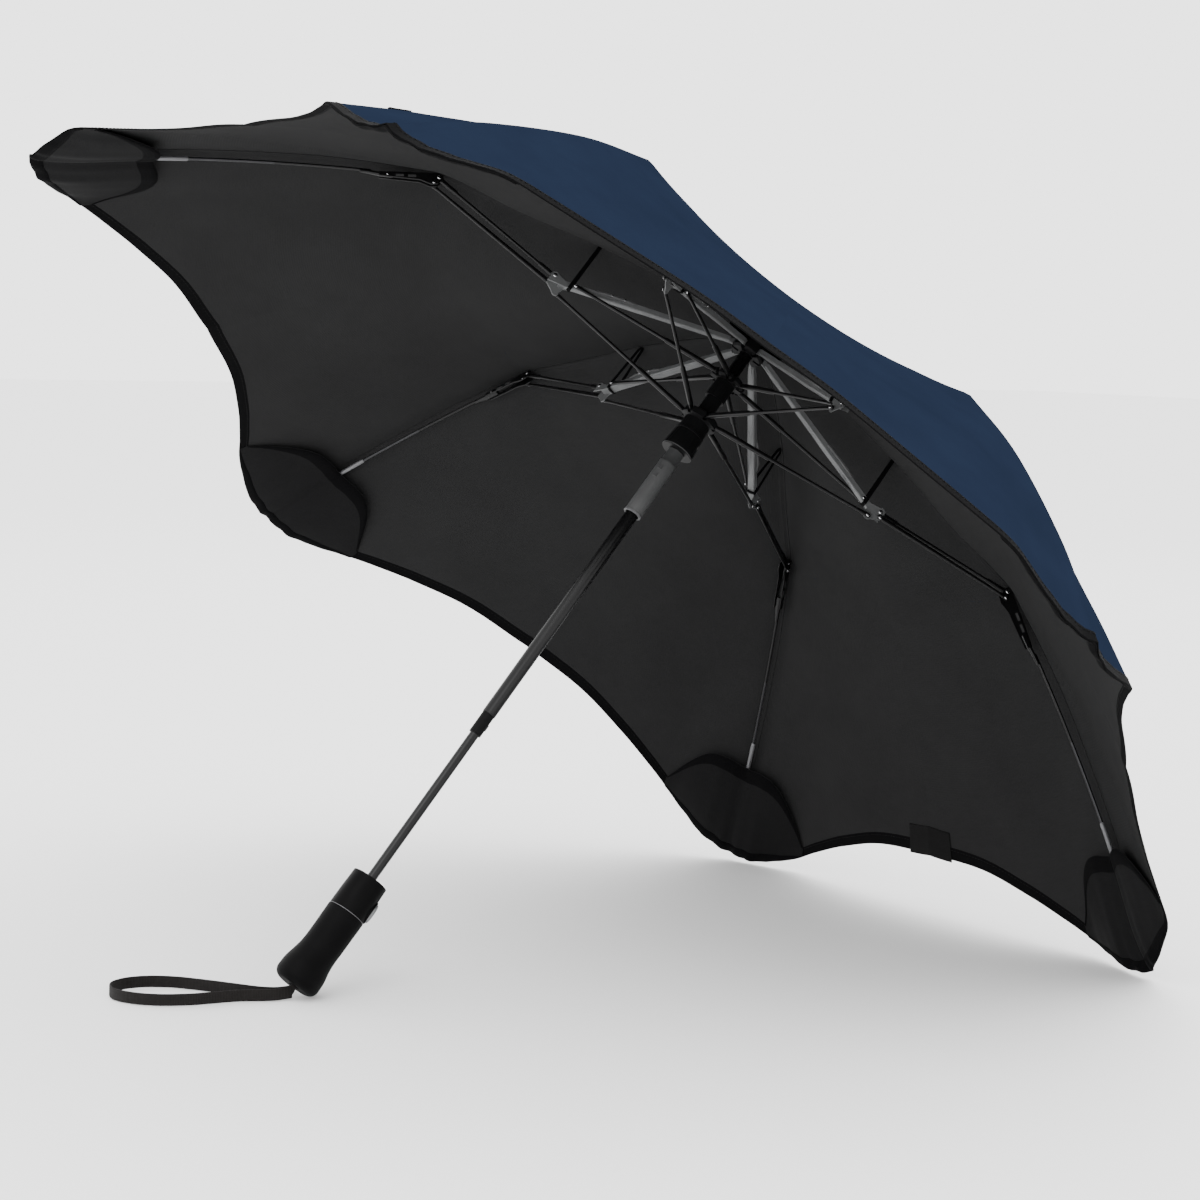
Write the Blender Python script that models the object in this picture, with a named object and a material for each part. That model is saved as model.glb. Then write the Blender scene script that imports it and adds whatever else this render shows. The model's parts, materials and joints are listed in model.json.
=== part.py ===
"""Compact automatic umbrella, open, leaning on its handle and two canopy tips. Metres, +Z up.

Lengths at the top are millimetres in the umbrella's own frame: r is the distance from the shaft's
axis and z is along it, with z = 0 at the rib pivots in the crown and the handle at negative z.
"""

import math

import bmesh
import bpy
from mathutils import Matrix, Vector

MM = 0.001
RIBS = 6
STEP = 360 / RIBS
FIRST_RIB = STEP / 2
GAP = 0.3

# Rib linkage in its own radial plane, as (r, z), with the canopy open.
RIB_PIVOT = (10.0, 0.0)
KNEE = (148.0, -43.5)
ELBOW = (259.0, -35.0)
WIRE_END = (481.0, -195.0)
WIRE_BOW = 6.0
STRUT_AT = 128.0
STRUT_DROP = 3.4
STRETCHER_BACK = 4.1
STRETCHER_DROP = 10.2
LINK_ON_RIB = (2.9, -3.6)
LINK_ON_WIRE = (3.9, -3.9)
LINK_R = 12.0
RING_Z = -30.0
RUNNER_Z = -67.0

# Side lanes: the central rib pieces, and the bars that lie beside them.
LANE = 4.5
BAR_WIDTH = 2.0
RIB_WIDTH = 6.0
WIRE_LINK_WIDTH = 6.4
SHEET = 0.7
PIN_R = 0.95
HOLE_R = 1.2
EYE_R = 2.0

# Shaft, runner and handle.
TUBE_R, TUBE_BORE_R, TUBE_TOP, TUBE_END = 5.0, 4.4, 10.0, -341.0
INNER_R, INNER_BORE_R, INNER_TOP, INNER_END = 3.5, 2.8, -311.0, -561.0
REDUCER_END = -358.0
HANDLE_TOP, HANDLE_SPLIT, HANDLE_END = -487.0, -513.0, -574.0
HANDLE_BORE_R, HANDLE_BORE_END = 9.2, -545.0
RIM_R, RIM_ROUND = 11.0, 6.5
BUTTON_AT, BUTTON_Z = -35.0, -503.5

# Canopy: height over a rib, how much lower the cloth is between two ribs, and its hem.
HUB_HOLE_R = 8.0
CLOTH = 0.8
CLOTH_ADDED = 1.0
OVER_RIB = [(8.0, 12.5), (70.0, 9.9), (140.0, -1.4), (200.0, -16.6), (260.0, -29.5)]
OVER_WIRE = [(260.0, -29.5), (340.0, -76.9), (420.0, -136.0), (498.5, -204.5)]
VALLEY = [(14.0, 0.0), (60.0, 10.7), (120.0, 20.6), (180.0, 28.7), (240.0, 34.2), (300.0, 36.7),
          (360.0, 33.0), (410.0, 35.0)]
HEM_R = [(0.0, 498.5), (0.06, 493.1), (0.12, 489.1), (0.18, 483.8), (0.26, 476.2), (0.36, 457.4),
         (0.5, 436.4), (0.7, 418.1), (1.0, 409.2)]
HEM_Z = [(0.0, -205.8), (0.06, -207.6), (0.12, -205.5), (0.18, -200.7), (0.26, -192.9),
         (0.36, -185.3), (0.5, -177.4), (0.7, -171.4), (1.0, -169.1)]
POCKET_HALF = 76.0
POCKET_R = 428.0
POCKET_HEM = 6.0
POCKET_GAP = 3.0

# Wrist strap: flat webbing on edge. Its route starts and ends at the foot of the handle.
STRAP_WIDTH, STRAP_THICK = 8.0, 1.2
STRAP_ROUTE = [
    (-1.0, 0.8, 4.9), (-6, 1.0, 4.7), (-13, 1.9, 4.4), (-22, 5.6, 4.3), (-36, 12, 4.3), (-52, 15, 4.3),
    (-70, 19, 4.3), (-88, 28, 4.3), (-101, 42, 4.3), (-106, 58, 4.3), (-101, 72, 4.3),
    (-88, 79, 4.3), (-72, 77, 4.3), (-56, 66, 4.3), (-42, 48, 4.3), (-30, 30, 4.3),
    (-20, 15, 4.3), (-12, 7.0, 4.4), (-6, 4.3, 4.7), (-1.0, 4.0, 4.9),
]

COLOURS = {
    "canopy_cloth": ((0.017, 0.042, 0.080), 0.75, 0.0),
    "pocket_cloth": ((0.012, 0.012, 0.012), 0.85, 0.0),
    "rib_grey": ((0.12, 0.12, 0.12), 0.40, 0.6),
    "frame_black": ((0.010, 0.010, 0.010), 0.38, 0.3),
    "tube_black": ((0.008, 0.008, 0.008), 0.32, 0.4),
    "runner_black": ((0.009, 0.009, 0.009), 0.35, 0.0),
    "sleeve_grey": ((0.085, 0.085, 0.085), 0.45, 0.0),
    "grip_rubber": ((0.012, 0.012, 0.012), 0.60, 0.0),
    "handle_plastic": ((0.009, 0.009, 0.009), 0.45, 0.0),
    "button_grey": ((0.30, 0.30, 0.30), 0.35, 0.3),
    "strap_webbing": ((0.020, 0.016, 0.013), 0.90, 0.0),
    "pin_steel": ((0.60, 0.60, 0.62), 0.30, 1.0),
    "label_cloth": ((0.010, 0.010, 0.010), 0.80, 0.0),
}


# ---------------------------------------------------------------- curves and placing

def curve(knots):
    """A smooth function through knots (x, y), whose slope at each is taken from its neighbours."""
    last = len(knots) - 1

    def slope(i):
        (x0, y0), (x1, y1) = knots[max(i - 1, 0)], knots[min(i + 1, last)]
        return (y1 - y0) / (x1 - x0)

    def at(x):
        x = min(max(x, knots[0][0]), knots[last][0])
        i = max(k for k in range(last) if knots[k][0] <= x)
        (x0, y0), (x1, y1) = knots[i], knots[i + 1]
        span = x1 - x0
        t = (x - x0) / span
        rise = (2 * t**3 - 3 * t**2 + 1) * y0 + (3 * t**2 - 2 * t**3) * y1
        return rise + (t**3 - 2 * t**2 + t) * span * slope(i) + (t**3 - t**2) * span * slope(i + 1)

    return at


over_rib, over_wire, valley = curve(OVER_RIB), curve(OVER_WIRE), curve(VALLEY)
hem_r, hem_z = curve(HEM_R), curve(HEM_Z)


def cloth_height(r, turn):
    """Height of the cloth at radius r, turn degrees away from the nearest rib."""
    off = abs(turn) / (STEP / 2)
    edge = hem_r(off)

    def plain(radius):
        ridge = over_rib(radius) if radius < OVER_RIB[-1][0] else over_wire(radius)
        return ridge - valley(radius) * (1 - (1 - off)**2)

    part = (r - HUB_HOLE_R) / (edge - HUB_HOLE_R)
    return plain(r) + (hem_z(off) - plain(edge)) * part**6


def direction(start, end):
    return math.degrees(math.atan2(end[1] - start[1], end[0] - start[0]))


def distance(start, end):
    return math.hypot(end[0] - start[0], end[1] - start[1])


def along(start, angle, forward, up=0.0):
    """The point forward along the line at angle from start, and up square to it."""
    c, s = math.cos(math.radians(angle)), math.sin(math.radians(angle))
    return start[0] + forward * c - up * s, start[1] + forward * s + up * c


RIB_ANGLE = direction(RIB_PIVOT, KNEE)
RIB_LENGTH = distance(RIB_PIVOT, KNEE)
MID_ANGLE = direction(KNEE, ELBOW)
MID_LENGTH = distance(KNEE, ELBOW)
WIRE_ANGLE = direction(ELBOW, WIRE_END)
WIRE_LENGTH = distance(ELBOW, WIRE_END)
RING_PIVOT = (LINK_R, RING_Z)
RUNNER_PIVOT = (LINK_R, RUNNER_Z)
STRUT_END = along(RIB_PIVOT, RIB_ANGLE, STRUT_AT, -STRUT_DROP)
STRETCHER_END = along(KNEE, RIB_ANGLE, -STRETCHER_BACK, -STRETCHER_DROP)
LINK_START = along(KNEE, RIB_ANGLE, *LINK_ON_RIB)
LINK_END = along(ELBOW, WIRE_ANGLE, *LINK_ON_WIRE)


def pocket_edge():
    """The outer, lower edge of a tip pocket as points (r, turn from the rib in degrees, z)."""
    points = []
    for k in range(-12, 13):
        turn = math.degrees(math.atan2(POCKET_HALF * k / 12, 485.0))
        r = hem_r(abs(turn) / (STEP / 2)) - GAP
        points.append((r, turn, cloth_height(r, turn) - CLOTH - POCKET_GAP))
    return points


def lean_of_shaft():
    """The shaft's lean from upright at which the handle's rim and two tips touch one floor."""
    low, high = math.radians(20), math.radians(60)
    for _ in range(60):
        lean = (low + high) / 2
        down, axis = math.sin(lean), math.cos(lean)
        rim = -down * RIM_R + axis * (HANDLE_END + RIM_ROUND) - RIM_ROUND
        tips = min(
            -down * r * math.cos(math.radians(FIRST_RIB + turn)) + axis * z
            for r, turn, z in pocket_edge()
        )
        low, high = (lean, high) if tips > rim else (low, lean)
    return lean, -rim


LEAN, CROWN_HEIGHT = lean_of_shaft()


# ---------------------------------------------------------------- meshes, all in millimetres

def mesh_of(points, faces, name="shape"):
    """A mesh with its faces turned outwards."""
    mesh = bpy.data.meshes.new(name)
    mesh.from_pydata([Vector(p) * MM for p in points], [], faces)
    work = bmesh.new()
    work.from_mesh(mesh)
    bmesh.ops.recalc_face_normals(work, faces=work.faces)
    work.to_mesh(mesh)
    work.free()
    return mesh


def turned(profile, sides=24):
    """A closed profile of (r, z) points turned about the shaft's axis. A point may lie on the axis."""
    points, rows = [], []
    for r, z in profile:
        count = sides if r > 0 else 1
        rows.append(range(len(points), len(points) + count))
        for k in range(count):
            a = 2 * math.pi * (k + 0.5) / sides
            points.append((r * math.cos(a), r * math.sin(a), z))
    faces = []
    for i, row in enumerate(rows):
        nxt = rows[(i + 1) % len(rows)]
        if len(row) == len(nxt) == 1:
            continue
        for k in range(sides):
            j = (k + 1) % sides
            if len(row) == 1:
                faces.append((row[0], nxt[k], nxt[j]))
            elif len(nxt) == 1:
                faces.append((row[k], row[j], nxt[0]))
            else:
                faces.append((row[k], row[j], nxt[j], nxt[k]))
    return mesh_of(points, faces)


def prism(outline, low, high):
    """An outline of (x, z) points made solid from y = low to y = high."""
    n = len(outline)
    points = [(x, low, z) for x, z in outline] + [(x, high, z) for x, z in outline]
    sides = [(k, (k + 1) % n, n + (k + 1) % n, n + k) for k in range(n)]
    return mesh_of(points, [tuple(range(n)), tuple(range(n, 2 * n))] + sides)


def box(low, high):
    return prism([(low[0], low[2]), (high[0], low[2]), (high[0], high[2]), (low[0], high[2])],
                 low[1], high[1])


def disc(x, z, radius, low, high, sides=8):
    """A round pin, boss or hole across the rib's plane."""
    turn = [2 * math.pi * (k + 0.5) / sides for k in range(sides)]
    return prism([(x + radius * math.cos(a), z + radius * math.sin(a)) for a in turn], low, high)


def tube_along(path, radius, sides=6):
    """A rod through points (x, z) in the rib's plane, cut square at its ends."""
    points, faces = [], []
    for i, (x, z) in enumerate(path):
        back, ahead = path[max(i - 1, 0)], path[min(i + 1, len(path) - 1)]
        a = math.atan2(ahead[1] - back[1], ahead[0] - back[0])
        for k in range(sides):
            b = 2 * math.pi * (k + 0.5) / sides
            up = radius * math.cos(b)
            points.append((x - up * math.sin(a), radius * math.sin(b), z + up * math.cos(a)))
    for i in range(len(path) - 1):
        for k in range(sides):
            a, b = i * sides + k, i * sides + (k + 1) % sides
            faces.append((a, b, b + sides, a + sides))
    faces += [tuple(range(sides)), tuple(range(len(points) - sides, len(points)))]
    return mesh_of(points, faces)


def sheet(rows, thickness):
    """A closed thin solid under a grid of points: thickness deep along z."""
    count = len(rows[0])
    top = [p for row in rows for p in row]
    below = [(x, y, z - thickness) for x, y, z in top]
    n = len(top)
    faces = []
    for i in range(len(rows) - 1):
        for k in range(count - 1):
            a = i * count + k
            quad = (a, a + 1, a + count + 1, a + count)
            faces += [quad, tuple(n + v for v in reversed(quad))]
    rim = [k for k in range(count)]
    rim += [i * count + count - 1 for i in range(1, len(rows))]
    rim += [(len(rows) - 1) * count + k for k in range(count - 2, -1, -1)]
    rim += [i * count for i in range(len(rows) - 2, 0, -1)]
    faces += [(a, b, n + b, n + a) for a, b in zip(rim, rim[1:] + rim[:1])]
    return mesh_of(top + below, faces)


def combine(base, plus=(), minus=()):
    """One mesh: base, with the meshes in plus joined to it and those in minus cut from it."""
    body = bpy.data.objects.new("body", base)
    tools = []
    bpy.context.scene.collection.objects.link(body)
    for mesh, operation in [(m, "UNION") for m in plus] + [(m, "DIFFERENCE") for m in minus]:
        tool = bpy.data.objects.new("tool", mesh)
        bpy.context.scene.collection.objects.link(tool)
        tools.append(tool)
        cut = body.modifiers.new("cut", "BOOLEAN")
        cut.operation = operation
        cut.object = tool
    graph = bpy.context.evaluated_depsgraph_get()
    result = bpy.data.meshes.new_from_object(body.evaluated_get(graph))
    for temporary in [body] + tools:
        bpy.data.objects.remove(temporary)
    return result


# ---------------------------------------------------------------- scene objects

def clear_scene():
    for thing in list(bpy.data.objects):
        bpy.data.objects.remove(thing)


def material(name):
    """The material of that name, made on first use."""
    found = bpy.data.materials.get(name)
    if found:
        return found
    colour, roughness, metallic = COLOURS[name]
    made = bpy.data.materials.new(name)
    made.use_nodes = True
    shader = made.node_tree.nodes["Principled BSDF"]
    shader.inputs["Base Color"].default_value = (*colour, 1)
    shader.inputs["Roughness"].default_value = roughness
    shader.inputs["Metallic"].default_value = metallic
    return made


def empty(name, parent, matrix):
    made = bpy.data.objects.new(name, None)
    bpy.context.scene.collection.objects.link(made)
    made.parent = parent
    made.matrix_local = matrix
    return made


def place(name, mesh, parent, finish, at=(0.0, 0.0), angle=0.0):
    """A named piece whose origin is at (r, z) in its parent's plane, turned up by angle degrees."""
    piece = bpy.data.objects.new(name, mesh)
    if not mesh.materials:
        mesh.materials.append(material(finish))
    mesh.shade_smooth()
    mesh.set_sharp_from_angle(angle=math.radians(30))
    bpy.context.scene.collection.objects.link(piece)
    piece.parent = parent
    turn = Matrix.Rotation(math.radians(-angle), 4, "Y")
    piece.matrix_local = Matrix.Translation((at[0] * MM, 0, at[1] * MM)) @ turn
    return piece


# ---------------------------------------------------------------- the rib linkage

def main_rib():
    """Grey channel rib: pivot blade at the crown, raised cheeks at the knee, hook below them."""
    end = RIB_LENGTH
    half = RIB_WIDTH / 2
    outer = prism([(7, -2.0), (end - 4, -5.8), (end - 4, -1.8), (7, 2.0)], -half, half)
    inner = prism([(-1, -12), (end + 9, -12), (end + 9, -2.6 - SHEET), (-1, 2.2 - SHEET)],
                  -half + SHEET, half - SHEET)
    blade = prism([(0, -1.9), (16, -2.1), (16, 1.2), (0, 1.9)], -1.2, 1.2)
    cheek = [(end - 14, -5.4), (end - 7, -6.4), (end - 7.2, -11.2), (end - 5.4, -12.6),
             (end - 2.6, -12.6), (end - 1, -10.8), (end + 2, -7.4), (end + 4.6, -5.4),
             (end + 4.6, -1.4), (end + 2.4, 1.9), (end, 2.6), (end - 2.2, 1.9), (end - 9, -1.9)]
    plain = [p for p in cheek if p[1] > -7]
    shape = combine(outer, minus=[inner])
    plus = [
        blade,
        disc(0, 0, 2.2, -1.2, 1.2),
        prism(cheek, -half, -half + SHEET),
        prism(plain, half - SHEET, half),
        disc(end, 0, PIN_R, -half + 0.2, half - 0.2),
        disc(end - 16, -3.2, 1.4, half - 0.2, half + 0.15),
    ]
    return combine(shape, plus=plus, minus=[disc(0, 0, HOLE_R, -2, 2)])


def bar(length, low, high, tall, socket=0.0, tail=True):
    """A flat bar with an eye at its origin. Its far end has a plain rounded eye."""
    half = tall / 2
    body = prism([(0, -half), (length, -half), (length, half), (0, half)], low, high)
    plus = [disc(0, 0, EYE_R, low, high)]
    if tail:
        plus.append(disc(length, 0, EYE_R, low, high))
    if socket:
        thick = half + 0.7
        plus.append(prism([(5, -thick), (socket, -thick), (socket, thick), (5, thick)], low, high))
    return combine(body, plus=plus, minus=[disc(0, 0, HOLE_R, low - 1, high + 1)])


def mid_rib():
    """Black rod from the knee to the elbow, between the cheeks of the ribs at both ends."""
    minus = [disc(0, 0, HOLE_R, -3, 3), disc(MID_LENGTH, 0, HOLE_R, -3, 3)]
    body = prism([(0, -1.2), (MID_LENGTH, -1.2), (MID_LENGTH, 1.2), (0, 1.2)], -1.2, 1.2)
    plus = [disc(x, 0, EYE_R, -1.5, 1.5) for x in (0, MID_LENGTH)]
    plus += [box((x, -1.5, -1.6), (x + 14, 1.5, 1.6)) for x in (2, MID_LENGTH - 16)]
    return combine(body, plus=plus, minus=minus)


def outer_rib():
    """Channel link at the elbow, then a slightly bowed wire with a pale sleeve, ending in a bead."""
    half = WIRE_LINK_WIDTH / 2
    outline = [(-3, -1.4), (1, -5.6), (6, -6.0), (14, -2.6), (34, -1.6), (44, -0.9), (44, 2.2),
               (20, 2.8), (0, 2.8), (-3, 1.4)]
    inner = prism([(-9, -9), (36, -9), (36, 1.5), (18, 2.1), (3.2, 2.1), (3.0, 6), (-9, 6)],
                  -half + SHEET, half - SHEET)
    link = combine(prism(outline, -half, half), minus=[inner])
    steps = 5

    def bowed(x):
        return x, WIRE_BOW * 4 * (x / WIRE_LENGTH) * (1 - x / WIRE_LENGTH)

    wire = [bowed(40 + (WIRE_LENGTH - 43) * k / steps) for k in range(steps + 1)]
    sleeve = [bowed(184), bowed(208)]
    nose = [bowed(WIRE_LENGTH - 6), bowed(WIRE_LENGTH)]
    return combine(link, plus=[
        disc(0, 0, PIN_R, -half + 0.2, half - 0.2),
        tube_along([(38, 2.0)] + wire, 1.15),
        tube_along(sleeve, 1.7),
        tube_along(nose, 1.5),
    ])


def tip_pocket():
    """The hem pocket at a rib's tip: cloth that bulges over the wire and closes along the hem."""
    rows = []
    across, deep = 12, 4
    for i in range(deep + 1):
        row = []
        for k in range(across + 1):
            side = -1 + 2 * k / across
            turn = math.degrees(math.atan2(POCKET_HALF * side, 485.0))
            edge = hem_r(abs(turn) / (STEP / 2)) - GAP
            start = POCKET_R + (edge - POCKET_HEM - POCKET_R) * abs(side)**2.2
            r = start + (edge - start) * i / deep
            room = 10.5 * (1 - side**2) * (1 - (i / deep)**4) + POCKET_GAP
            a = math.radians(turn)
            row.append((r * math.cos(a), r * math.sin(a), cloth_height(r, turn) - CLOTH / 2 - room))
        rows.append(row)
    return sheet(rows, 0.8)


# ---------------------------------------------------------------- crown, ring and runner

def ring_of(cutter, count=RIBS):
    """Copies of a mesh, one at each rib."""
    copies = []
    for k in range(count):
        copy = cutter.copy()
        copy.transform(Matrix.Rotation(math.radians(FIRST_RIB + STEP * k), 4, "Z"))
        copies.append(copy)
    return copies


def slots_and_pins(solid, centre, half, low, high, inner, pivot_r, z):
    """Cuts a slot at each rib and puts a pin across it."""
    cut = combine(solid, minus=ring_of(box((inner, centre - half, low), (20, centre + half, high))))
    pin = disc(pivot_r, z, PIN_R, centre - half - 0.5, centre + half + 0.5)
    return combine(cut, plus=ring_of(pin))


def crown():
    """Black hub on the tube: a slotted disc that holds the ribs, and a neck that the cloth sits on."""
    profile = [(5.3, -5), (12, -5), (13.5, -3.5), (13.5, 3.5), (12, 5), (9, 6), (9, 11.8), (5.3, 11.8)]
    return slots_and_pins(turned(profile), 0, 1.6, -7, 7, 6.6, RIB_PIVOT[0], RIB_PIVOT[1])


def top_cap():
    """Domed cap that clamps the cloth on the crown."""
    return turned([(0, 13.3), (13, 13.3), (13, 14.6), (11.5, 16.8), (8, 18.6), (0, 19.6)])


def floating_ring():
    """Ring on the tube for the upper struts, notched so that the lower stretchers can pass."""
    z = RING_Z
    profile = [(6.6, z - 18), (7.8, z - 18), (7.8, z - 2.7), (13, z - 2.7), (14.3, z - 1.5),
               (14.3, z + 1.5), (13, z + 2.7), (6.6, z + 2.7)]
    notch = box((8.2, -LANE - 1.5, z - 4), (20, -LANE + 1.5, z + 4))
    solid = combine(turned(profile), minus=ring_of(notch))
    return slots_and_pins(solid, LANE, 1.5, z - 4, z + 4, 8.2, LINK_R, z)


def runner():
    """Black sliding bell with the lower stretchers' pins, and a neck that fills the ring above."""
    z = RUNNER_Z
    profile = [(5.3, z - 32), (12.2, z - 32), (12.4, z - 29), (10.6, z - 11), (10.4, z - 4),
               (14.3, z - 2.8), (14.3, z + 2), (13, z + 2.8), (6.3, z + 3), (6.3, z + 30), (5.3, z + 30)]
    return slots_and_pins(turned(profile), -LANE, 1.5, z - 3.4, z + 4, 8.2, LINK_R, z)


def runner_sleeve():
    """Grey tube under the bell, with one step at its neck."""
    z = RUNNER_Z
    profile = [(5.6, z - 91), (6.75, z - 91), (6.75, z - 44), (6.3, z - 42), (6.3, z - 32.3),
               (5.6, z - 32.3)]
    return turned(profile)


# ---------------------------------------------------------------- shaft and handle

def upper_tube():
    ring = [(TUBE_BORE_R, TUBE_END), (TUBE_R, TUBE_END), (TUBE_R, TUBE_TOP), (TUBE_BORE_R, TUBE_TOP)]
    return turned(ring)


def reducer_collar():
    """Plastic bush in the end of the upper tube, with the small stop that shows on its side."""
    bore, spigot, outside = INNER_R + 0.2, TUBE_BORE_R - 0.2, 4.6
    ring = turned([(bore, REDUCER_END), (outside, REDUCER_END), (outside, TUBE_END - GAP),
                   (spigot, TUBE_END - GAP), (spigot, TUBE_END + 12), (bore, TUBE_END + 12)])
    middle = (REDUCER_END + TUBE_END) / 2
    nub = box((bore + 0.3, -1.2, middle - 2.5), (outside + 0.6, 1.2, middle + 2.5))
    return combine(ring, plus=[nub])


def lower_tube():
    ring = [(INNER_BORE_R, INNER_END), (INNER_R, INNER_END), (INNER_R, INNER_TOP),
            (INNER_BORE_R, INNER_TOP)]
    return turned(ring)


def handle_grip():
    """Rubber grip with a waist and a flared, rounded foot. The lower tube stands in its floor."""
    profile = [(HANDLE_BORE_R, HANDLE_SPLIT), (13.6, HANDLE_SPLIT), (14.0, HANDLE_SPLIT - 0.5),
               (13.9, -524), (13.8, -538), (14.3, -546), (15.6, -553), (17.1, -560)]
    centre_z = HANDLE_END + RIM_ROUND
    for k in range(5):
        a = math.radians(-22.5 * k)
        profile.append((RIM_R + RIM_ROUND * math.cos(a), centre_z + RIM_ROUND * math.sin(a)))
    socket = INNER_R + GAP
    profile += [(0, HANDLE_END), (0, INNER_END - GAP), (socket, INNER_END - GAP),
                (socket, HANDLE_BORE_END), (HANDLE_BORE_R, HANDLE_BORE_END)]
    recess = box((-2.6, -5, HANDLE_END - 2), (2.6, 5, HANDLE_END + 6))
    return combine(turned(profile), minus=[recess])


def handle_collar():
    """Smooth collar over the grip, with the button's window."""
    top, low = HANDLE_TOP, HANDLE_SPLIT + GAP
    profile = [(HANDLE_BORE_R, low), (13.6, low), (13.8, low + 0.5), (13.3, top + 2.4), (12.0, top),
               (HANDLE_BORE_R, top)]
    window = oval_plug(6.0, 16.0, 4.3, 7.8)
    return combine(turned(profile), minus=[window])


def oval_plug(low, high, half_width, half_height):
    """An oval plug that points outwards from the shaft at the button's place."""
    sides = 16
    turn = [2 * math.pi * k / sides for k in range(sides)]
    oval = [(half_width * math.cos(a), half_height * math.sin(a)) for a in turn]
    points = [(r, y, z + BUTTON_Z) for r in (low, high) for y, z in oval]
    walls = [(k, (k + 1) % sides, sides + (k + 1) % sides, sides + k) for k in range(sides)]
    mesh = mesh_of(points, walls + [tuple(range(sides)), tuple(range(sides, 2 * sides))])
    mesh.transform(Matrix.Rotation(math.radians(BUTTON_AT), 4, "Z"))
    return mesh


def strap_pin():
    """Steel pin across the recess in the handle's foot."""
    return disc(0, HANDLE_END + 3, 1.0, -4.6, 4.6, 16)


# ---------------------------------------------------------------- cloth, label and straps

def canopy():
    """One thin sheet over all ribs, thinner at the hub. Its hem at each tip stops inside the pocket's edge."""
    per_gore, rows_in, rows_out = 12, 4, 10
    over_elbow = (OVER_RIB[-1][0] - HUB_HOLE_R) / (HEM_R[0][1] - 4.0 - HUB_HOLE_R)
    rings = []
    for i in range(rows_out + 1):
        beyond = max(i - rows_in, 0) / (rows_out - rows_in)
        part = over_elbow * min(i / rows_in, 1) + (1 - over_elbow) * beyond
        ring = []
        for k in range(RIBS * per_gore):
            azimuth = FIRST_RIB + STEP * k / per_gore
            turn = (k % per_gore) * STEP / per_gore
            turn = turn if turn <= STEP / 2 else turn - STEP
            off = abs(turn) / (STEP / 2)
            edge = hem_r(off) - (4.0 if off < 0.3 else 0.0)
            r = HUB_HOLE_R + (edge - HUB_HOLE_R) * part
            a = math.radians(azimuth)
            ring.append((r * math.cos(a), r * math.sin(a), cloth_height(r, turn) - CLOTH / 2))
        rings.append(ring)
    count = RIBS * per_gore
    under = [p for ring in rings for p in ring]
    points = [(x, y, z + CLOTH + CLOTH_ADDED * min(math.hypot(x, y) / 20 - 0.4, 1)) for x, y, z in under]
    points += under
    n = len(under)
    faces = []
    for k in range(count):
        j = (k + 1) % count
        for i in range(rows_out):
            quad = (i * count + k, i * count + j, (i + 1) * count + j, (i + 1) * count + k)
            faces += [quad, tuple(n + v for v in reversed(quad))]
        for i in (0, rows_out):
            faces.append((i * count + k, i * count + j, n + i * count + j, n + i * count + k))
    return mesh_of(points, faces)


def patch(azimuth, r_low, r_high, half_width, lift, thickness):
    """A small flat piece of cloth that follows the canopy, lift above or below its middle."""
    rows = []
    for i in range(4):
        row = []
        for k in range(5):
            r = r_low + (r_high - r_low) * i / 3
            side = half_width * (-1 + 2 * k / 4)
            a = math.radians(azimuth) + side / r
            turn = math.degrees(a) - FIRST_RIB
            turn -= STEP * round(turn / STEP)
            row.append((r * math.cos(a), r * math.sin(a), cloth_height(r, turn) + lift))
        rows.append(row)
    return sheet(rows, thickness)


def wrist_strap():
    """Flat webbing on edge: out from the pin, round a long loop on the floor and back to the pin."""
    points, faces = [], []
    last = len(STRAP_ROUTE) - 1
    for i, (x, y, z) in enumerate(STRAP_ROUTE):
        back, ahead = STRAP_ROUTE[max(i - 1, 0)], STRAP_ROUTE[min(i + 1, last)]
        side = Vector((back[1] - ahead[1], ahead[0] - back[0], 0)).normalized() * STRAP_THICK / 2
        for s, up in ((-1, -1), (1, -1), (1, 1), (-1, 1)):
            points.append((x + s * side.x, y + s * side.y, z + up * STRAP_WIDTH / 2))
    for i in range(last):
        for k in range(4):
            a, b = 4 * i + k, 4 * i + (k + 1) % 4
            faces.append((a, b, b + 4, a + 4))
    faces += [(0, 1, 2, 3), (4 * last, 4 * last + 1, 4 * last + 2, 4 * last + 3)]
    return mesh_of(points, faces)


# ---------------------------------------------------------------- assembly

def build_ribs(umbrella):
    shapes = {
        "main_rib": (main_rib(), "rib_grey", RIB_PIVOT, RIB_ANGLE),
        "mid_rib": (mid_rib(), "frame_black", KNEE, MID_ANGLE),
        "outer_rib": (outer_rib(), "frame_black", ELBOW, WIRE_ANGLE),
    }
    low, high = -LANE - BAR_WIDTH / 2, -LANE + BAR_WIDTH / 2
    link = distance(LINK_START, LINK_END)
    shapes["control_rod"] = (bar(link, low, high, 2.2), "frame_black",
                             LINK_START, direction(LINK_START, LINK_END))
    reach = distance(RUNNER_PIVOT, STRETCHER_END)
    shapes["stretcher"] = (bar(reach, low, high, 2.8, 34.0), "frame_black",
                           RUNNER_PIVOT, direction(RUNNER_PIVOT, STRETCHER_END))
    reach = distance(RING_PIVOT, STRUT_END)
    shapes["strut"] = (bar(reach, -high, -low, 2.8, 30.0), "frame_black",
                       RING_PIVOT, direction(RING_PIVOT, STRUT_END))
    pocket = tip_pocket()
    for k in range(RIBS):
        turn = Matrix.Rotation(math.radians(FIRST_RIB + STEP * k), 4, "Z")
        plane = empty(f"rib_plane_{k + 1}", umbrella, turn)
        for name, (mesh, finish, at, angle) in shapes.items():
            place(f"{name}_{k + 1}", mesh, plane, finish, at, angle)
        place(f"tip_pocket_{k + 1}", pocket, plane, "pocket_cloth")


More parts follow.
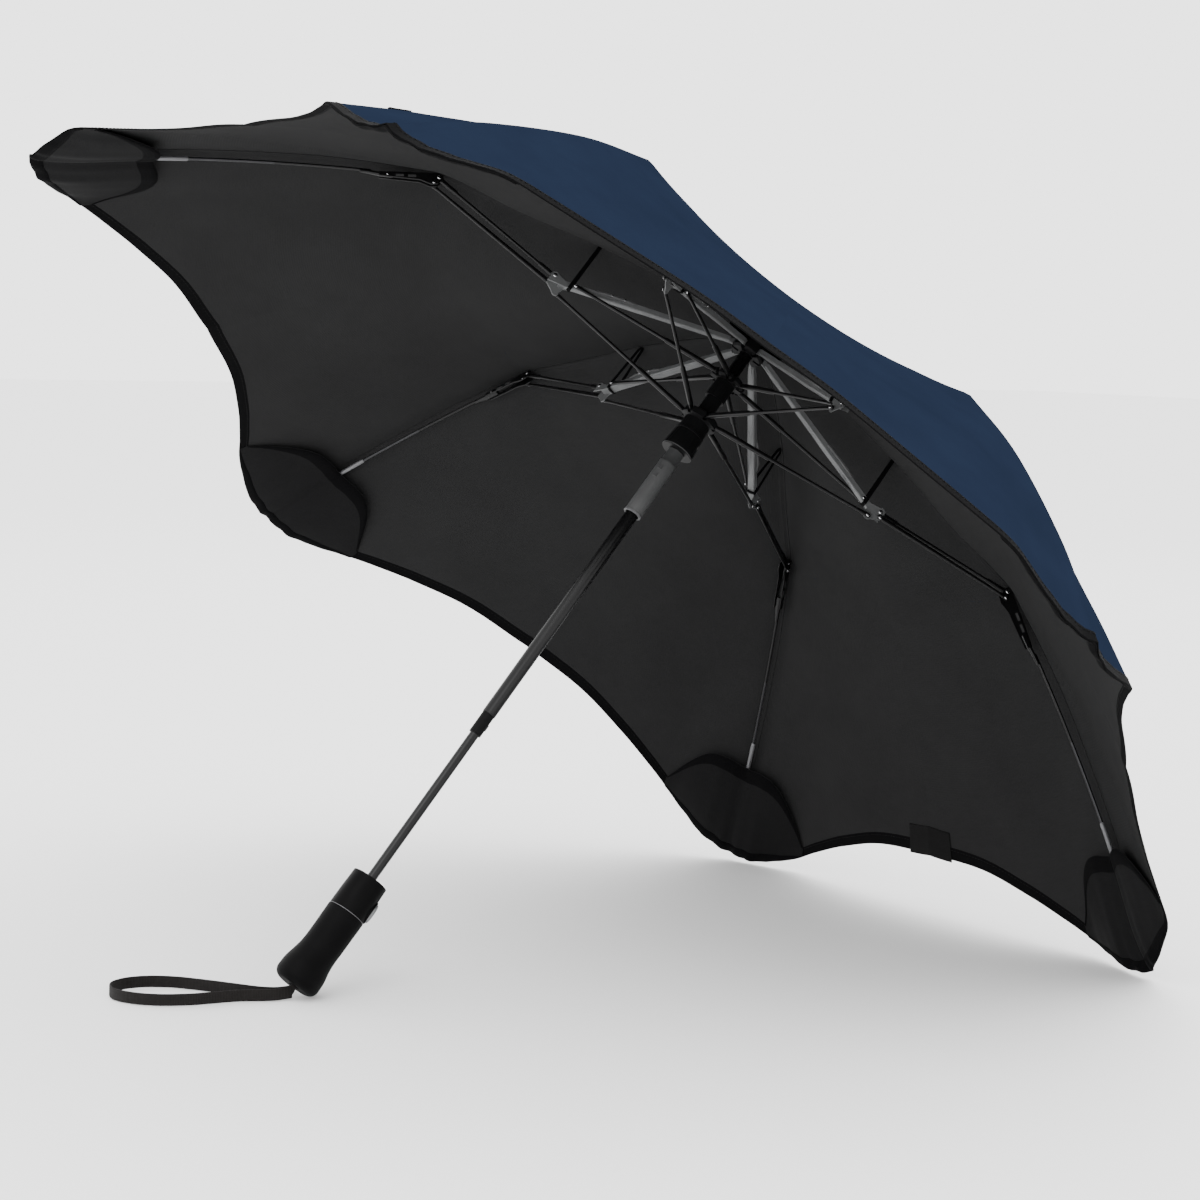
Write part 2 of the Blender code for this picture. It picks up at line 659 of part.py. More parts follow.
def build_shaft(umbrella):
    place("crown", crown(), umbrella, "runner_black")
    place("top_cap", top_cap(), umbrella, "runner_black")
    place("upper_tube", upper_tube(), umbrella, "tube_black")
    place("reducer_collar", reducer_collar(), umbrella, "runner_black")
    place("lower_tube", lower_tube(), umbrella, "tube_black")
    place("floating_ring", floating_ring(), umbrella, "runner_black")
    place("runner", runner(), umbrella, "runner_black")
    place("runner_sleeve", runner_sleeve(), umbrella, "sleeve_grey")


def build_handle(umbrella):
    place("handle_grip", handle_grip(), umbrella, "grip_rubber")
    place("handle_collar", handle_collar(), umbrella, "handle_plastic")
    place("open_button", oval_plug(9.6, 14.8, 3.9, 7.4), umbrella, "button_grey")
    place("strap_pin", strap_pin(), umbrella, "pin_steel")


def build_cloth(umbrella):
    place("canopy", canopy(), umbrella, "canopy_cloth")
    place("hem_label", patch(0, 394, 406, 24, -2.2, 0.5), umbrella, "label_cloth")
    place("tie_strap", patch(-161.5, 420, 434, 19, 2.6, 0.8), umbrella, "pocket_cloth")


def settle(stand):
    """Moves the whole model so that its origin is under the middle of its footprint."""
    bpy.context.view_layer.update()
    corners = [
        piece.matrix_world @ v.co
        for piece in bpy.data.objects
        if piece.type == "MESH" and piece.name != "wrist_strap"
        for v in piece.data.vertices
    ]
    for axis in range(3):
        values = [c[axis] for c in corners]
        middle = min(values) if axis == 2 else (min(values) + max(values)) / 2
        stand.location[axis] = -middle


def main():
    clear_scene()
    stand = empty("stand", None, Matrix.Identity(4))
    tilt = Matrix.Translation((0, 0, CROWN_HEIGHT * MM)) @ Matrix.Rotation(LEAN, 4, "Y")
    umbrella = empty("umbrella", stand, tilt)
    build_ribs(umbrella)
    build_shaft(umbrella)
    build_handle(umbrella)
    build_cloth(umbrella)
    foot = tilt @ Vector((0, 0, HANDLE_END * MM))
    anchor = empty("strap_anchor", stand, Matrix.Translation((foot.x, 0, 0)))
    place("wrist_strap", wrist_strap(), anchor, "strap_webbing")
    settle(stand)


main()
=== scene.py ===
"""Looks of a compact automatic umbrella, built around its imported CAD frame.

Shapes are in millimetres in the umbrella's own frame: z runs up the shaft to the crown's pivots, r is the
distance from the shaft, and rib k lies at azimuth 30 + 60 (k - 1) degrees.
"""

import json
import math

import bpy
import numpy as np
from mathutils import Matrix, Vector

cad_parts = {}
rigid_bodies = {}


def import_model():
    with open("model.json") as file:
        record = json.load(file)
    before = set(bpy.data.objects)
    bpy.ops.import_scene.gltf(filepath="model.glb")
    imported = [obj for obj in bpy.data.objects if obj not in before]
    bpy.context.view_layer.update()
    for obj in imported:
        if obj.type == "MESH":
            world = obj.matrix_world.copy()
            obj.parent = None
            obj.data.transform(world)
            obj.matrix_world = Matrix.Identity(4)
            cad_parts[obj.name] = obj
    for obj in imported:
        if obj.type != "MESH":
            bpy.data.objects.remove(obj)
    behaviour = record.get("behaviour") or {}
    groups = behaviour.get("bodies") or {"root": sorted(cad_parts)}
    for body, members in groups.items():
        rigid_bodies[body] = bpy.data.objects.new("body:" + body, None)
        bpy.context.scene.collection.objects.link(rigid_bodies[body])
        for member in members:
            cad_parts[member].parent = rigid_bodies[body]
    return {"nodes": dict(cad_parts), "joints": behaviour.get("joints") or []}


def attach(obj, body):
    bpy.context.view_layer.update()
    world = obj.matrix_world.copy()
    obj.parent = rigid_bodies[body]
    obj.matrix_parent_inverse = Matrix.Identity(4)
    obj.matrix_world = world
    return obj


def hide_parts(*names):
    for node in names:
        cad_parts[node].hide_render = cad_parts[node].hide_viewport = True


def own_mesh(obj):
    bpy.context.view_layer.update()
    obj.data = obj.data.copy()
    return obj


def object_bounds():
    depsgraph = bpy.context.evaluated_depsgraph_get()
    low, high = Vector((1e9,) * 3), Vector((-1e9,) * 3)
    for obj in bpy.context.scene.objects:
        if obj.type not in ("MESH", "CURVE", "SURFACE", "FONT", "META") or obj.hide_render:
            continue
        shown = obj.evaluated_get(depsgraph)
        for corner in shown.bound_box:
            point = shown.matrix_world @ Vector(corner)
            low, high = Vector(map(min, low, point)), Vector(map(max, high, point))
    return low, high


MM = 0.001
RIBS, FIRST_RIB, STEP = 6, 30.0, 60.0

# Rib linkage at rest, as (r, z) in a rib's plane.
RIB_PIVOT, KNEE, ELBOW, WIRE_END = (10.0, 0.0), (148.0, -43.5), (259.0, -35.0), (481.0, -195.0)
WIRE_BOW = 6.0
STRUT_AT, STRUT_DROP, STRETCHER_BACK, STRETCHER_DROP = 128.0, 3.4, 4.1, 10.2
LINK_R, RING_Z, RUNNER_Z, LANE = 12.0, -30.0, -67.0, 4.5

# Shaft and handle.
TUBE_R, TUBE_BORE_R, TUBE_TOP, TUBE_END = 5.0, 4.4, 10.0, -341.0
INNER_R, INNER_BORE_R, INNER_TOP, INNER_END = 3.5, 2.8, -311.0, -561.0
HANDLE_TOP, HANDLE_SPLIT, HANDLE_END = -487.0, -513.0, -574.0
HANDLE_BORE_R, HANDLE_BORE_END = 9.2, -545.0
RIM_R, RIM_ROUND = 11.0, 6.5
BUTTON_AT, BUTTON_Z = -35.0, -503.5
GAP = 0.3

# Canopy: height over a rib, how much lower the cloth is between two ribs, and its hem.
HUB_HOLE_R = 8.0
OVER_RIB = [(8.0, 12.5), (70.0, 9.9), (140.0, -1.4), (200.0, -16.6), (260.0, -29.5)]
OVER_WIRE = [(260.0, -29.5), (340.0, -76.9), (420.0, -136.0), (498.5, -204.5)]
VALLEY = [(14.0, 0.0), (60.0, 10.7), (120.0, 20.6), (180.0, 28.7), (240.0, 34.2), (300.0, 36.7),
          (360.0, 33.0), (410.0, 35.0)]
HEM_R = [(0.0, 498.5), (0.06, 493.1), (0.12, 489.1), (0.18, 483.8), (0.26, 476.2), (0.36, 457.4),
         (0.5, 436.4), (0.7, 418.1), (1.0, 409.2)]
HEM_Z = [(0.0, -205.8), (0.06, -207.6), (0.12, -205.5), (0.18, -200.7), (0.26, -192.9),
         (0.36, -185.3), (0.5, -177.4), (0.7, -171.4), (1.0, -169.1)]
CLOTH = 0.4
HUB_PART, ELBOW_PART = 0.035, 0.518
POCKET_HALF, POCKET_R, POCKET_HEM = 76.0, 428.0, 6.0

# Wrist strap, from the foot of the handle: its route on the floor and its webbing.
STRAP_WIDTH, STRAP_THICK = 8.0, 1.2
STRAP_ROUTE = [
    (-1.0, 0.8, 4.9), (-6, 1.0, 4.7), (-13, 1.9, 4.4), (-22, 5.6, 4.3), (-36, 12, 4.3), (-52, 15, 4.3),
    (-70, 19, 4.3), (-88, 28, 4.3), (-101, 42, 4.3), (-106, 58, 4.3), (-101, 72, 4.3),
    (-88, 79, 4.3), (-72, 77, 4.3), (-56, 66, 4.3), (-42, 48, 4.3), (-30, 30, 4.3),
    (-20, 15, 4.3), (-12, 7.0, 4.4), (-6, 4.3, 4.7), (-1.0, 4.0, 4.9),
]

# The camera's place from the crown in metres, the way it looks, and its right-hand side.
CAMERA_FROM_CROWN = (-1.246, -1.584, 0.017)
CAMERA_LOOKS, CAMERA_RIGHT = (0.5733, 0.8130, -0.1016), (0.8185, -0.5738, 0.0270)
CAMERA_LENS, CAMERA_SENSOR = 81.16, 36.0

# How much of their width the cloth's pieces are to keep when the umbrella is closed; the script only reads
# them to tell the pieces on the ribs from the hub.
KEEP_INNER, KEEP_OUTER = 0.25, 0.12


# ---------------------------------------------------------------- curves

def curve(knots):
    """A smooth function through knots (x, y), whose slope at each is taken from its neighbours."""
    last = len(knots) - 1

    def slope(i):
        (x0, y0), (x1, y1) = knots[max(i - 1, 0)], knots[min(i + 1, last)]
        return (y1 - y0) / (x1 - x0)

    def at(x):
        x = min(max(x, knots[0][0]), knots[last][0])
        i = max(k for k in range(last) if knots[k][0] <= x)
        (x0, y0), (x1, y1) = knots[i], knots[i + 1]
        span = x1 - x0
        t = (x - x0) / span
        rise = (2 * t**3 - 3 * t**2 + 1) * y0 + (3 * t**2 - 2 * t**3) * y1
        return rise + (t**3 - 2 * t**2 + t) * span * slope(i) + (t**3 - t**2) * span * slope(i + 1)

    return at


over_rib, over_wire, valley = curve(OVER_RIB), curve(OVER_WIRE), curve(VALLEY)
over_gore = curve(OVER_RIB + OVER_WIRE[1:])
hem_r, hem_z = curve(HEM_R), curve(HEM_Z)


def off_rib(turn):
    """How far towards mid-gore: 0 over a rib and 1 half way to the next, for any turn in degrees."""
    folded = abs(turn) % STEP
    return min(folded, STEP - folded) / (STEP / 2)


def cloth_height(r, turn):
    """Height of the cloth at radius r, turn degrees away from the nearest rib."""
    off = off_rib(turn)
    edge = hem_r(off)

    def plain(radius):
        bent = over_rib(radius) if radius < OVER_RIB[-1][0] else over_wire(radius)
        eased = min(off / 0.3, 1.0)
        ridge = bent + (over_gore(radius) - bent) * eased
        return ridge - valley(radius) * (1 - (1 - off)**2)

    part = (r - HUB_HOLE_R) / (edge - HUB_HOLE_R)
    return plain(r) + (hem_z(off) - plain(edge)) * part**6


def direction(start, end):
    return math.degrees(math.atan2(end[1] - start[1], end[0] - start[0]))


def distance(start, end):
    return math.hypot(end[0] - start[0], end[1] - start[1])


def along(start, angle, forward, up=0.0):
    """The point forward along the line at angle from start, and up square to it."""
    c, s = math.cos(math.radians(angle)), math.sin(math.radians(angle))
    return start[0] + forward * c - up * s, start[1] + forward * s + up * c


RIB_ANGLE, RIB_LENGTH = direction(RIB_PIVOT, KNEE), distance(RIB_PIVOT, KNEE)
MID_ANGLE, MID_LENGTH = direction(KNEE, ELBOW), distance(KNEE, ELBOW)
WIRE_ANGLE, WIRE_LENGTH = direction(ELBOW, WIRE_END), distance(ELBOW, WIRE_END)
RING_PIVOT, RUNNER_PIVOT = (LINK_R, RING_Z), (LINK_R, RUNNER_Z)
STRUT_END = along(RIB_PIVOT, RIB_ANGLE, STRUT_AT, -STRUT_DROP)
STRETCHER_END = along(KNEE, RIB_ANGLE, -STRETCHER_BACK, -STRETCHER_DROP)


# ---------------------------------------------------------------- the frame

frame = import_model()
cad_low, cad_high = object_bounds()
joints = {j["name"]: j for j in frame["joints"]}
pivots = [Vector(joints[f"main_rib_{k}_pivot"]["pos_m"]) for k in range(1, RIBS + 1)]
crown_at = sum(pivots, Vector()) / RIBS
shaft_up = Vector(joints["handle_slide"]["axis"]).normalized()
across = Vector((0, 1, 0))
ahead = across.cross(shaft_up).normalized()
axes = Matrix((ahead, across, shaft_up)).transposed().to_4x4()
UMBRELLA = Matrix.Translation(crown_at) @ axes @ Matrix.Scale(MM, 4)


def rib_plane(k, at=(0.0, 0.0), angle=0.0):
    """The frame of rib k, or of a piece in it whose origin is at (r, z) and turned up by angle."""
    turn = Matrix.Rotation(math.radians(FIRST_RIB + STEP * (k - 1)), 4, "Z")
    place = Matrix.Translation((at[0], 0, at[1])) @ Matrix.Rotation(math.radians(-angle), 4, "Y")
    return UMBRELLA @ turn @ place


# ---------------------------------------------------------------- materials

def new_material(name, colour, roughness, metallic=0.0, **sockets):
    """A Principled material, and a function that adds a node and sets its inputs."""
    made = bpy.data.materials.new(name)
    made.use_nodes = True
    tree = made.node_tree
    shader = tree.nodes["Principled BSDF"]
    shader.inputs["Base Color"].default_value = (*colour, 1)
    shader.inputs["Roughness"].default_value = roughness
    shader.inputs["Metallic"].default_value = metallic
    for socket, value in sockets.items():
        shader.inputs[socket.replace("_", " ")].default_value = value

    def node(kind, **values):
        added = tree.nodes.new(kind)
        for key, value in values.items():
            if key in added.inputs:
                added.inputs[key].default_value = value
            else:
                setattr(added, key, value)
        return added

    return made, tree, shader, node


def vary(tree, shader, node, colour, darker, lighter, scale, place):
    """Colour that drifts between darker and lighter shares of itself at the given scale per metre."""
    noise = node("ShaderNodeTexNoise", Scale=scale, Detail=4.0, Roughness=0.6)
    ramp = node("ShaderNodeValToRGB")
    ramp.color_ramp.elements[0].position = 0.3
    ramp.color_ramp.elements[1].position = 0.7
    ramp.color_ramp.elements[0].color = (*[c * darker for c in colour], 1)
    ramp.color_ramp.elements[1].color = (*[c * lighter for c in colour], 1)
    tree.links.new(place, noise.inputs["Vector"])
    tree.links.new(noise.outputs["Fac"], ramp.inputs["Fac"])
    tree.links.new(ramp.outputs["Color"], shader.inputs["Base Color"])
    return noise


def bump_from(tree, shader, node, heights, depth):
    """Bump of that depth in metres from the sum of the heights, which are (output, share)."""
    total = None
    for output, share in heights:
        scaled = node("ShaderNodeMath", operation="MULTIPLY")
        scaled.inputs[1].default_value = share
        tree.links.new(output, scaled.inputs[0])
        if total is None:
            total = scaled.outputs[0]
            continue
        added = node("ShaderNodeMath", operation="ADD")
        tree.links.new(total, added.inputs[0])
        tree.links.new(scaled.outputs[0], added.inputs[1])
        total = added.outputs[0]
    bump = node("ShaderNodeBump", Distance=depth, Strength=1.0)
    tree.links.new(total, bump.inputs["Height"])
    tree.links.new(bump.outputs["Normal"], shader.inputs["Normal"])


def solid_finish(name, colour, roughness, metallic=0.0, grain=900.0, depth=0.00003, specular=0.28):
    """Moulded, painted or metal finish: fine grain, slow changes of colour and uneven gloss."""
    made, tree, shader, node = new_material(name, colour, roughness, metallic, Specular_IOR_Level=specular)
    place = node("ShaderNodeTexCoord").outputs["Object"]
    vary(tree, shader, node, colour, 0.86, 1.16, 60.0, place)
    fine = node("ShaderNodeTexNoise", Scale=grain, Detail=3.0, Roughness=0.6)
    gloss = node("ShaderNodeTexNoise", Scale=45.0, Detail=5.0, Roughness=0.65)
    spread = node("ShaderNodeMapRange")
    spread.inputs["To Min"].default_value = roughness - 0.07
    spread.inputs["To Max"].default_value = roughness + 0.09
    for texture in (fine, gloss):
        tree.links.new(place, texture.inputs["Vector"])
    tree.links.new(gloss.outputs["Fac"], spread.inputs["Value"])
    tree.links.new(spread.outputs["Result"], shader.inputs["Roughness"])
    bump_from(tree, shader, node, [(fine.outputs["Fac"], 1.0)], depth)
    return made


def cloth_finish(name, colour, roughness, sheen, threads=1100.0, depth=0.00006, specular=0.12):
    """Plain weave in the cloth's own lengths (its UV map is in metres), with faint soft folds."""
    made, tree, shader, node = new_material(name, colour, roughness, Sheen_Weight=sheen,
                                            Sheen_Roughness=0.45, Specular_IOR_Level=specular)
    place = node("ShaderNodeTexCoord").outputs["UV"]
    vary(tree, shader, node, colour, 0.93, 1.07, 18.0, place)
    heights = []
    for axis in ("X", "Y"):
        weave = node("ShaderNodeTexWave", wave_type="BANDS", bands_direction=axis, Scale=threads / 6.283,
                     Distortion=0.4)
        tree.links.new(place, weave.inputs["Vector"])
        heights.append((weave.outputs["Fac"], 0.5))
    folds = node("ShaderNodeTexNoise", Scale=22.0, Detail=2.0, Roughness=0.4, Distortion=0.3)
    tree.links.new(place, folds.inputs["Vector"])
    heights.append((folds.outputs["Fac"], 9.0))
    bump_from(tree, shader, node, heights, depth)
    return made


def webbing_finish(name, colour, rib):
    """Ribbed webbing: crosswise ribs along the strap's length."""
    made, tree, shader, node = new_material(name, colour, 0.85, Sheen_Weight=0.03, Specular_IOR_Level=0.15)
    place = node("ShaderNodeTexCoord").outputs["UV"]
    vary(tree, shader, node, colour, 0.8, 1.25, 260.0, place)
    ribs = node("ShaderNodeTexWave", wave_type="BANDS", bands_direction="X", Scale=1 / (rib * 6.283 / 2))
    edge = node("ShaderNodeTexWave", wave_type="BANDS", bands_direction="Y", Scale=1 / (rib * 6.283))
    for texture in (ribs, edge):
        tree.links.new(place, texture.inputs["Vector"])
    bump_from(tree, shader, node, [(ribs.outputs["Fac"], 1.0), (edge.outputs["Fac"], 0.5)], 0.0002)
    return made


NAVY, CHARCOAL = (0.0080, 0.0125, 0.0245), (0.0132, 0.0132, 0.0134)
finishes = {
    "navy": cloth_finish("navy_cloth", NAVY, 0.62, 0.0, specular=0.0),
    "charcoal": cloth_finish("charcoal_lining", CHARCOAL, 0.75, 0.0, specular=0.03),
    "pocket_cloth": cloth_finish("pocket_cloth", (0.0068, 0.0068, 0.0070), 0.70, 0.0, specular=0.02),
    "binding": cloth_finish("hem_binding", (0.0024, 0.0024, 0.0026), 0.80, 0.0, threads=1600.0,
                            specular=0.02),
    "label_cloth": cloth_finish("label_cloth", (0.0030, 0.0030, 0.0030), 0.60, 0.0, threads=2500.0,
                                specular=0.05),
    "tab_red": cloth_finish("tab_red", (0.0300, 0.0040, 0.0040), 0.75, 0.0, specular=0.02),
    "thread": solid_finish("thread", (0.0020, 0.0020, 0.0020), 0.70, grain=2500.0, specular=0.1),
    "rib_grey": solid_finish("rib_grey", (0.085, 0.087, 0.088), 0.38, 0.15, grain=1500.0, depth=0.00002),
    "wing_grey": solid_finish("wing_grey", (0.042, 0.042, 0.043), 0.42, 0.1, grain=1500.0),
    "frame_black": solid_finish("frame_black", (0.0030, 0.0030, 0.0032), 0.34, 0.2, grain=1400.0),
    "wire_grey": solid_finish("wire_grey", (0.030, 0.030, 0.032), 0.28, 0.8, grain=1400.0),
    "tube_black": solid_finish("tube_black", (0.0020, 0.0020, 0.0022), 0.24, 0.3),
    "runner_black": solid_finish("runner_black", (0.0040, 0.0040, 0.0042), 0.40, depth=0.00002,
                                 specular=0.05),
    "sleeve_grey": solid_finish("sleeve_grey", (0.034, 0.0345, 0.035), 0.45),
    "rim_grey": solid_finish("rim_grey", (0.11, 0.11, 0.115), 0.40, 0.3),
    "grip_rubber": solid_finish("grip_rubber", (0.0014, 0.0014, 0.0015), 0.55, grain=2200.0, depth=0.00006,
                                specular=0.04),
    "handle_plastic": solid_finish("handle_plastic", (0.0012, 0.0012, 0.0013), 0.42, grain=1800.0,
                                   specular=0.04),
    "button_grey": solid_finish("button_grey", (0.120, 0.120, 0.122), 0.40, 0.3),
    "strap_webbing": webbing_finish("strap_webbing", (0.0048, 0.0040, 0.0036), 0.0011),
    "pin_steel": solid_finish("pin_steel", (0.40, 0.40, 0.41), 0.24, 1.0, grain=3000.0, depth=0.00001),
}


# ---------------------------------------------------------------- mesh helpers

def piece(name, points, faces, plane, body, finish, replaces=(), uvs=None, second=None,
          sharp=35.0):
    """A mesh placed by the matrix plane, in a finish, riding a body. uvs is one pair for each point.
    second is (another finish, the faces that have it)."""
    mesh = bpy.data.meshes.new(name)
    mesh.from_pydata([plane @ Vector(p) for p in points], [], faces)
    mesh.validate()
    if uvs:
        layer = mesh.uv_layers.new(name="UVMap")
        for loop in mesh.loops:
            layer.data[loop.index].uv = uvs[loop.vertex_index]
    mesh.materials.append(finishes[finish])
    if second:
        mesh.materials.append(finishes[second[0]])
        for i in second[1]:
            mesh.polygons[i].material_index = 1
    mesh.shade_smooth()
    mesh.set_sharp_from_angle(angle=math.radians(sharp))
    made = bpy.data.objects.new(name, mesh)
    bpy.context.scene.collection.objects.link(made)
    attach(made, body)
    if replaces:
        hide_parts(*replaces)
    return made


def grid_faces(rows, columns, around=False, start=0):
    """Quads between rows of points, closed round the columns if asked."""
    faces = []
    for i in range(rows - 1):
        for k in range(columns if around else columns - 1):
            a, b = start + i * columns + k, start + i * columns + (k + 1) % columns
            faces.append((a, b, b + columns, a + columns))
    return faces


def shell_faces(rows, columns):
    """Faces of a thin sheet, given as an upper grid of points and then a lower one: (upper, lower, edge)."""
    n = rows * columns
    upper = grid_faces(rows, columns)
    lower = [tuple(n + v for v in reversed(face)) for face in upper]
    rim = list(range(columns)) + [i * columns + columns - 1 for i in range(1, rows)]
    rim += [(rows - 1) * columns + j for j in range(columns - 2, -1, -1)]
    rim += [i * columns for i in range(rows - 2, 0, -1)]
    edge = [(a, n + a, n + b, b) for a, b in zip(rim, rim[1:] + rim[:1])]
    return upper, lower, edge


def turned(profile, sides=64):
    """A closed outline of (r, z) turned round the shaft: (points, faces)."""
    points = []
    for r, z in profile:
        for k in range(sides):
            a = 2 * math.pi * k / sides
            points.append((max(r, 0.001) * math.cos(a), max(r, 0.001) * math.sin(a), z))
    rows = len(profile)
    faces = grid_faces(rows, sides, around=True)
    for k in range(sides):
        a, b = k, (k + 1) % sides
        faces.append(((rows - 1) * sides + a, (rows - 1) * sides + b, b, a))
    return points, faces


def lathe(name, profile, finish, body, replaces=(), sides=64, plane=None, sharp=35.0):
    points, faces = turned(profile, sides)
    made = piece(name, points, faces, plane or UMBRELLA, body, finish, replaces, sharp=sharp)
    outward(made)
    return made


def outward(made):
    """Turns the faces of a closed mesh to point out of it."""
    mesh = made.data
    points = np.array([v.co for v in mesh.vertices])
    volume = 0.0
    for polygon in mesh.polygons:
        corners = points[list(polygon.vertices)]
        for i in range(1, len(corners) - 1):
            volume += np.dot(corners[0], np.cross(corners[i], corners[i + 1]))
    if volume < 0:
        mesh.flip_normals()


def loft(rings, plane, name, body, finish, replaces=(), sharp=35.0):
    """A closed solid through rings of points, with flat ends."""
    n = len(rings[0])
    points = [p for ring in rings for p in ring]
    faces = grid_faces(len(rings), n, around=True)
    faces += [tuple(range(n)), tuple(range((len(rings) - 1) * n, len(rings) * n))]
    made = piece(name, points, faces, plane, body, finish, replaces, sharp=sharp)
    outward(made)
    return made


def oval_ring(x, y, z, half_y, half_z, sides=16, power=2.0):
    """A ring of points square to x, from a circle (power 2) towards a rounded box (power above 2)."""
    ring = []
    for k in range(sides):
        a = 2 * math.pi * k / sides
        c, s = math.cos(a), math.sin(a)
        ring.append((x, y + half_y * math.copysign(abs(c)**(2 / power), c),
                     z + half_z * math.copysign(abs(s)**(2 / power), s)))
    return ring


def rod(sections, plane, name, body, finish, replaces=(), sides=16, power=2.0):
    """A rod through sections (x, y, z, half width, half height)."""
    rings = [oval_ring(*section, sides=sides, power=power) for section in sections]
    return loft(rings, plane, name, body, finish, replaces)


def dome(x, z, side, base_y, radius, height):
    """Rings of a rivet's domed head on the side (+1 or -1) of a plate, as points and faces."""
    profile = [(radius, 0.0), (radius, height * 0.35), (radius * 0.8, height * 0.8),
               (radius * 0.4, height), (0.001, height)]
    sides, points = 14, []
    for r, h in profile:
        for k in range(sides):
            a = 2 * math.pi * k / sides
            points.append((x + r * math.cos(a), base_y + side * h, z + r * math.sin(a)))
    return points, grid_faces(len(profile), sides, around=True) + [tuple(range(sides))]


def rivets(heads, plane, name, body):
    """Steel rivet heads, each (x, z, side, y, radius, height), as one piece."""
    points, faces = [], []
    for head in heads:
        more, links = dome(*head)
        faces += [tuple(len(points) + v for v in face) for face in links]
        points += more
    return piece(name, points, faces, plane, body, "pin_steel")


# ---------------------------------------------------------------- the cloth

def cloth_point(turn, part):
    """(r, z) of the cloth at part of the way from the hub's hole to the hem."""
    off = off_rib(turn)
    r = HUB_HOLE_R + (hem_r(off) - HUB_HOLE_R) * part
    pleats = math.cos(turn * 3.3) * max(0.0, 1 - off / 0.3)**2 * max(0.0, (part - 0.82) / 0.18)
    swell = math.sin(off * math.pi * 3) * off * (1 - off) * part**8
    ease = math.sin(part * 23) * (1 - off)**6 * max(0.0, part - 0.25)
    return r, cloth_height(r, turn) + 0.9 * pleats + 4.0 * swell + 0.6 * ease


def cloth_place(turn, part, lift=0.0):
    """The cloth's point in the plane of the rib, raised by lift."""
    r, z = cloth_point(turn, part)
    a = math.radians(turn)
    return Vector((r * math.cos(a), r * math.sin(a), z + lift))


def cloth_normal(turn, part):
    outwards = cloth_place(turn, min(part + 0.002, 1.0)) - cloth_place(turn, max(part - 0.002, 0.0))
    sideways = cloth_place(turn + 0.4, part) - cloth_place(turn - 0.4, part)
    up = outwards.cross(sideways).normalized()
    return up if up.z > 0 else -up


def cloth_panel(name, k, turns, parts, body, keep):
    """Part of the canopy as a thin shell: navy outside and charcoal inside. The hub, which has no keep,
    goes all the way round."""
    rows, columns = len(parts), len(turns)
    points, uvs, normals = [], [], []
    for side in (1, -1):
        for part in parts:
            for turn in turns:
                points.append(cloth_place(turn, part, side * CLOTH / 2))
                r = cloth_point(turn, part)[0]
                uvs.append((r * math.radians(turn) * MM, r * MM * 1.15))
                normals.append(cloth_normal(turn, part) * side)
    if keep:
        outer, inner, edge = shell_faces(rows, columns)
    else:
        n = rows * columns
        outer = grid_faces(rows, columns, around=True)
        inner = [tuple(n + v for v in reversed(face)) for face in outer]
        edge = []
        for first in (0, n - columns):
            rim = [first + i for i in range(columns)] + [first]
            edge += [(a, n + a, n + b, b) for a, b in zip(rim, rim[1:])]
    inside = range(len(outer), len(outer) + len(inner))
    plane = rib_plane(k)
    made = piece(name, points, outer + inner + edge, plane, body, "navy", ("canopy",), uvs,
                 second=("charcoal", inside))
    outward(made)
    turn = plane.to_3x3().normalized()
    made.data.normals_split_custom_set_from_vertices([(turn @ n).normalized() for n in normals])
    if keep:
        fold_with_ribs(made)
    length = sum((cloth_place(0, b) - cloth_place(0, a)).length for a, b in zip(parts, parts[1:])) * MM
    widths = [max(2 * cloth_point(t, part)[0] * math.sin(math.radians(abs(t))) for t in turns)
              for part in parts]
    width = (max(widths) if keep else 2 * hub_radius()) * MM


def hub_radius():
    return cloth_point(0.0, HUB_PART)[0]


def fold_with_ribs(made):
    """Gives the piece its own copy of its mesh."""
    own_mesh(made)


def spaced(start, end, count):
    return [start + (end - start) * i / count for i in range(count + 1)]


def ribbon(name, path, k, body, finish, keep=None, thickness=0.6, lift=0.0, replaces=()):
    """A strip of cloth: path is rows of (turn, part) across the strip, followed along its length."""
    points, uvs = [], []
    for side in (1, -1):
        for i, row in enumerate(path):
            for j, (turn, part) in enumerate(row):
                points.append(cloth_place(turn, part, lift + side * thickness / 2))
                uvs.append((i * 0.004, j * 0.004))
    upper, lower, edge = shell_faces(len(path), len(path[0]))
    made = piece(name, points, upper + lower + edge, rib_plane(k), body, finish, replaces, uvs)
    outward(made)
    if keep:
        fold_with_ribs(made)


def stitches(name, lines, k, body, keep, lift, pitch=3.4, long=2.1, wide=0.5, tall=0.35):
    """Rows of thread stitches, each line a list of points in rib k's plane."""
    points, faces = [], []
    for line in lines:
        run = 0.0
        for a, b in zip(line, line[1:]):
            a, b = Vector(a), Vector(b)
            step, way = (b - a).length, (b - a).normalized()
            while run < step:
                mid = a + way * run + Vector((0, 0, lift))
                side = way.cross(Vector((0, 0, 1))).normalized() * wide / 2
                up = side.cross(way).normalized() * tall / 2
                base = len(points)
                for end in (-1, 1):
                    tip = mid + way * end * long / 2
                    points += [tip - side, tip - up, tip + side, tip + up]
                faces += [(base + i, base + (i + 1) % 4, base + 4 + (i + 1) % 4, base + 4 + i)
                          for i in range(4)]
                faces += [(base, base + 1, base + 2, base + 3), (base + 4, base + 5, base + 6, base + 7)]
                run += pitch
            run -= step
    made = piece(name, points, faces, rib_plane(k), body, "thread")
    if keep:
        fold_with_ribs(made)
    return made


